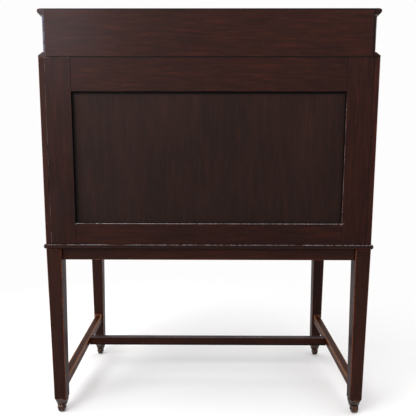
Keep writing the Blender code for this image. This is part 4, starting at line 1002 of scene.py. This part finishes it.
def makeFall():
    dress("fall_leaf", woodMaterial(
        "mahoganyFrame_fall_leaf", "mahoganyFrame", "X", 81, tilt=fall["angle"], cleat=fall["clamp"]))
    low, high = fall["leather"]
    bm = bmesh.new()
    addBoard(bm, (*low, -fall["leatherThickness"]), (*high, fall["pasted"]), 0.0002, place=fallPlace)
    addPiece("writingLeather", bm, [finishes["skiverLeather"]], "fall")
    below, gold = -fall["leatherThickness"] - 0.00005, finishes["goldLeaf"]
    around = [fallPlace @ Vector((x, y, below)) for x, y in framed(low, high, fall["border"])]
    mesh = bake(trees["tooling"], around, {
        "Step": fall["stampStep"], "Size": fall["stampSize"], "Proud": fall["stampProud"], "Tilt": fall["angle"],
        "Material": gold}, [(0, 1), (1, 2), (2, 3), (3, 0)])
    addPiece("goldStamps", mesh, [], "fall")
    for index, apart in enumerate((-fall["lineApart"], fall["lineApart"])):
        around = [fallPlace @ Vector((x, y, below + fall["lineSunk"]))
                  for x, y in framed(low, high, fall["border"] + apart)]
        addBead("goldLine_%d" % index, around, fall["lineRadius"], gold, "fall")
    for node in ("fall_lock", "fall_bolt"):
        dress(node, finishes["polishedBrass"])
    inwards = fallPlace.to_3x3() @ Vector((0, 0, -1))
    for side, sign in sides.items():
        dress("hinge_fixed_" + side, finishes["polishedBrass"])
        dress("hinge_moving_" + side, finishes["polishedBrass"])
        across, down = [sign * fall["hingeX"] + offset for offset in fall["hingeScrews"]], fall["hingeScrewDown"]
        fixed = [Vector((x, down, 0.0)) + fall["hinge"] for x in across]
        addScrews("hingeScrews_" + side, "case", fixed, (0, 0, 1), 11 + sign, *fall["screw"])
        moving = [fallPlace @ Vector((x, down, fall["screwSunk"])) for x in across]
        addScrews("fallHingeScrews_" + side, "fall", moving, inwards, 21 + sign, *fall["screw"])
    places = [fallPlace @ Vector((x, fall["length"] - down, fall["screwSunk"]))
              for x in fall["lockScrews"] for down in fall["lockScrewsDown"]]
    addScrews("lockScrews", "fall", places, inwards, 31, *fall["lockScrew"])
    up = Matrix.Rotation(math.radians(-90), 4, "X")  # a plate that looks along -Y turned to look along the leaf's +Z
    outside = fallPlace @ Matrix.Translation((0, fall["length"] - fall["keyholeDown"], fall["thickness"]))
    addKeyholePlate("fallKeyhole", "fall", outside @ up)


makeFall()
print("fall made")


# Pigeonholes: an arched valance across the top of each hole

nest = {
    "count": 8, "board": 0.007, "height": 0.017, "rise": 0.0115, "thickness": 0.004, "setback": 0.003,
    "letIn": 0.0002}  # how far a valance runs into the boards beside and above it


def makeValances():
    low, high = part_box("nest_pigeonholes")
    pitch = (high.x - low.x - nest["board"]) / nest["count"]
    wood = woodMaterial("mahoganyInside_valances", "mahoganyInside", "X", 95)
    start = Vector((low.x + (pitch + nest["board"]) / 2, low.y + nest["setback"] + nest["thickness"],
                    high.z - nest["board"] - nest["height"] / 2 + nest["letIn"]))
    mesh = bake(trees["valances"], [start], {
        "Count": nest["count"], "Spacing": pitch, "Width": pitch - nest["board"] + 2 * nest["letIn"],
        "Height": nest["height"], "Rise": nest["rise"], "Thickness": nest["thickness"], "Material": wood})
    addPiece("pigeonholeValances", mesh, [], "case")


makeValances()
print("pigeonholes made")


# Stage: a pale floor that fades into a white surround, soft light from high on the camera's left

stage = {
    "white": "#fefdfd", "floorRadius": 5.0, "fadeFrom": 1.0, "fadeTo": 2.1, "surround": 0.89, "paper": "#fbfafa",
    "lights": [  # name, place, size, watts
        ("keyHigh", (1.23, 1.57, 2.22), 1.3, 21), ("keyLow", (0.95, 2.04, 1.85), 1.5, 18),
        ("left", (2.76, 0.49, 1.30), 1.3, 19), ("right", (-0.86, 2.36, 2.00), 1.3, 6),
        ("side", (-2.34, 0.41, 2.21), 1.3, 3), ("overhead", (0.0, -1.45, 3.06), 1.3, 10),
        ("glint", (2.15, 1.05, 0.85), 0.30, 60)]}  # seen in polish alone, as a bright window is


def makeFloor():
    bm = bmesh.new()
    bmesh.ops.create_circle(bm, cap_ends=True, segments=96, radius=stage["floorRadius"])
    mesh = bpy.data.meshes.new("floor")
    bm.to_mesh(mesh)
    bm.free()
    floor = addObject("floor", mesh)

    def shader(tree):
        radius = addNode(tree, "VectorMath", (addNode(tree, "TexCoord").outputs["Object"],), "LENGTH")
        falloff = addNode(tree, "MapRange", fromTo(radius, (stage["fadeFrom"], stage["fadeTo"]), (0.0, 1.0)),
                       interpolation_type="SMOOTHSTEP")
        paper = addNode(tree, "BsdfDiffuse", {"Color": linear(stage["paper"])})
        return addNode(tree, "MixShader", (falloff, paper, addNode(tree, "BsdfTransparent")))

    mesh.materials.append(newMaterial("paperFloor", shader))


def makeSurround():
    world = bpy.data.worlds.new("surround")
    bpy.context.scene.world = world
    world.use_nodes = True
    tree = world.node_tree
    tree.nodes.clear()
    path = addNode(tree, "LightPath")
    camera, glossy, through = [path.outputs["Is %s Ray" % kind] for kind in ("Camera", "Glossy", "Transmission")]
    seen = addNode(tree, "Math", (camera, glossy), "MAXIMUM")
    shown = addNode(tree, "Math", (seen, through), "MAXIMUM")
    white = addNode(tree, "Background", {"Color": linear(stage["white"]), "Strength": 1.0})
    soft = addNode(tree, "Background", {"Color": (1, 1, 1, 1), "Strength": stage["surround"]})
    mix = addNode(tree, "MixShader", (shown, soft, white))
    addNode(tree, "OutputWorld", (mix,))


def makeLights():
    for name, place, size, watts in stage["lights"]:
        lamp = bpy.data.lights.new(name, "AREA")
        lamp.shape, lamp.size, lamp.energy = "DISK", size, watts
        light = addObject(name, lamp)
        light.location = place
        light.rotation_euler = (Vector((0, 0, 0.55)) - Vector(place)).to_track_quat("-Z", "Y").to_euler()
        light.visible_diffuse = name != "glint"


camera = {
    "place": (0.0049, 1.5488, 0.6403), "turn": (82.4834, -0.1105, -179.636),
    "lens": 39.535, "shiftX": 0.0102, "shiftY": 0.1128}


def makeCamera():
    eye = addObject("camera", bpy.data.cameras.new("camera"))
    eye.location = camera["place"]
    eye.rotation_euler = [math.radians(angle) for angle in camera["turn"]]
    eye.data.sensor_width = 36
    eye.data.lens = camera["lens"]
    eye.data.shift_x, eye.data.shift_y = camera["shiftX"], camera["shiftY"]
    bpy.context.scene.camera = eye


makeFloor()
makeSurround()
makeLights()
makeCamera()
bpy.context.scene.view_settings.view_transform = "Standard"
print("stage set")
